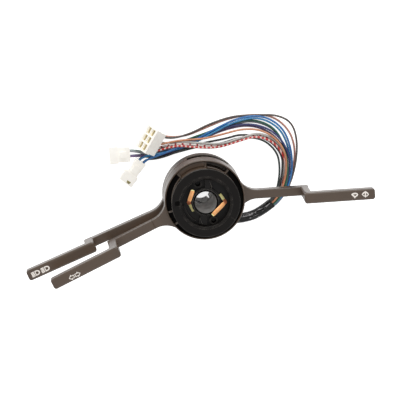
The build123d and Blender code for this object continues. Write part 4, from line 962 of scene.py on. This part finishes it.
def block_arrow(tail, tip, middle):
    """A hollow block arrow from its tail to its tip."""
    way = 1 if tip > tail else -1
    head = tip - way * 3.2
    outside = [
        (tail, middle - 1.6), (head, middle - 1.6), (head, middle - 2.8), (tip, middle), (head, middle + 2.8),
        (head, middle + 1.6), (tail, middle + 1.6),
    ]
    neck = head + way * 0.7
    inside = [
        (tail + way * 0.6, middle - 0.95), (neck, middle - 0.95), (neck, middle - 1.35),
        (tip - way * 1.0, middle), (neck, middle + 1.35), (neck, middle + 0.95),
        (tail + way * 0.6, middle + 0.95),
    ]
    return [outside, inside]


def lamp_symbol(start, middle):
    """A headlamp seen from the side: its bowl and four beams."""
    back, rear = start + 4.9, start + 4.0
    bowl = [(back, middle - 2.5), (back, middle + 2.5), *arc(start + 3.0, middle, 3.0, 2.5, 90, 270)]
    hollow = [(rear, middle - 1.4), (rear, middle + 1.4), *arc(start + 3.1, middle, 1.8, 1.4, 90, 270)]
    near, far = start + 5.4, start + 8.6
    beams = []
    for row in range(4):
        low = middle - 2.45 + row * 1.3
        beams.append([(near, low), (far, low + 0.1), (far, low + 1.15), (near, low + 1.05)])
    return [bowl, hollow, *beams]


# The symbols lie along and across each lever, in millimetres from the column's axis; each lever has its
# angle from the x axis in degrees and the height of its paddle
indicator_angle, indicator_top = 206.7, 107.0
headlight_angle, headlight_top = 203.8, 67.5
wiper_angle, wiper_top = 3.2, 85.5
print_symbol(
    "print_turn_arrows", "indicator_lever", indicator_angle, indicator_top,
    block_arrow(140.7, 146.4, 0.6) + block_arrow(139.9, 134.2, 0.6),
)
print_symbol(
    "print_headlamps", "headlight_lever", headlight_angle, headlight_top,
    lamp_symbol(170.9, -2.0) + lamp_symbol(160.9, -2.0),
)
wiper_marks = [
    [
        (137.7, -1.2), (138.9, 0.1), (141.3, 0.6), (143.6, 0.0), (144.5, -1.6), (143.5, -3.0), (141.9, -3.8),
        (141.4, -5.0), (140.5, -4.6), (140.1, -3.5), (138.8, -2.4),
    ],
    [(139.7, -0.8), (141.2, -1.1), (142.9, -0.8), (142.8, -1.8), (141.5, -2.8), (140.6, -2.2)],
]
washer_marks = [
    [
        (147.7, -1.6), (149.2, 0.3), (151.4, 1.4), (153.5, 0.1), (154.7, -2.0), (153.2, -3.7), (151.9, -4.0),
        (151.1, -4.9), (150.4, -3.8), (149.2, -3.4),
    ],
    [(148.9, -1.6), (150.7, -0.4), (150.7, -2.8), (149.5, -2.7)],
    [(151.9, -0.5), (153.6, -1.8), (152.9, -2.9), (151.9, -2.9)],
]
print_symbol("print_wiper", "wiper_lever", wiper_angle, wiper_top, wiper_marks)
print_symbol("print_washer", "wiper_lever", wiper_angle, wiper_top, washer_marks)


def background_rays(tree):
    """1 for the rays that are to see white behind the switch, and 0 for those that light it."""
    rays = node(tree, "ShaderNodeLightPath")
    seen = node(
        tree, "ShaderNodeMath", operation="MAXIMUM", in_0=rays.outputs["Is Camera Ray"],
        in_1=rays.outputs["Is Glossy Ray"],
    )
    seen_all = node(
        tree, "ShaderNodeMath", operation="MAXIMUM", in_0=seen.outputs[0],
        in_1=rays.outputs["Is Transmission Ray"],
    )
    return seen_all.outputs[0]


# Studio: pale floor, soft lamps, white behind for the camera and for reflections
floor_half = 4
floor_mesh = bpy.data.meshes.new("floor")
floor_mesh.from_pydata(
    [(x * floor_half, y * floor_half, 0) for x, y in ((-1, -1), (1, -1), (1, 1), (-1, 1))], [], [(0, 1, 2, 3)]
)
floor = add_object("floor", floor_mesh)
floor.location = (0, 0, -0.2 * mm)
floor_paint = bpy.data.materials.new("floor_paint")
floor_paint.use_nodes = True
tree = floor_paint.node_tree
shader = tree.nodes["Principled BSDF"]
set_inputs(shader, {"Base Color": (0.8, 0.8, 0.8, 1), "Roughness": 0.9, "Specular IOR Level": 0.0})
glow_level = node(tree, "ShaderNodeMath", operation="MULTIPLY", in_0=background_rays(tree), in_1=0.86)
glow = node(tree, "ShaderNodeEmission", in_Strength=glow_level.outputs[0])
both = node(tree, "ShaderNodeAddShader", in_0=shader.outputs[0], in_1=glow.outputs[0])
tree.links.new(both.outputs[0], tree.nodes["Material Output"].inputs["Surface"])
floor_mesh.materials.append(floor_paint)

world = bpy.data.worlds.new("studio")
bpy.context.scene.world = world
world.use_nodes = True
tree = world.node_tree
sky = tree.nodes["Background"]
sky.inputs["Color"].default_value = (1, 1, 1, 1)
level = node(
    tree, "ShaderNodeMapRange", in_Value=background_rays(tree), in_To_Min=0.5, in_To_Max=1.0
)
tree.links.new(level.outputs[0], sky.inputs["Strength"])


def softbox(name, place, size, power):
    """A square soft lamp that looks at the switch."""
    lamp = bpy.data.lights.new(name, "AREA")
    lamp.shape = "SQUARE"
    lamp.size = size
    lamp.energy = power
    held = add_object(name, lamp)
    held.location = place
    held.rotation_euler = (Vector((0, 0, 0.04)) - Vector(place)).to_track_quat("-Z", "Y").to_euler()


softbox("softbox_back", (0.25, 1.1, 1.2), 0.9, 8.0)
softbox("softbox_low", (-0.1, 1.3, 0.35), 0.7, 4.6)
softbox("softbox_left", (-1.1, 0.2, 1.1), 0.8, 4.0)
softbox("softbox_front", (0.4, -1.0, 1.5), 0.9, 3.0)

bpy.context.scene.view_settings.view_transform = "Standard"
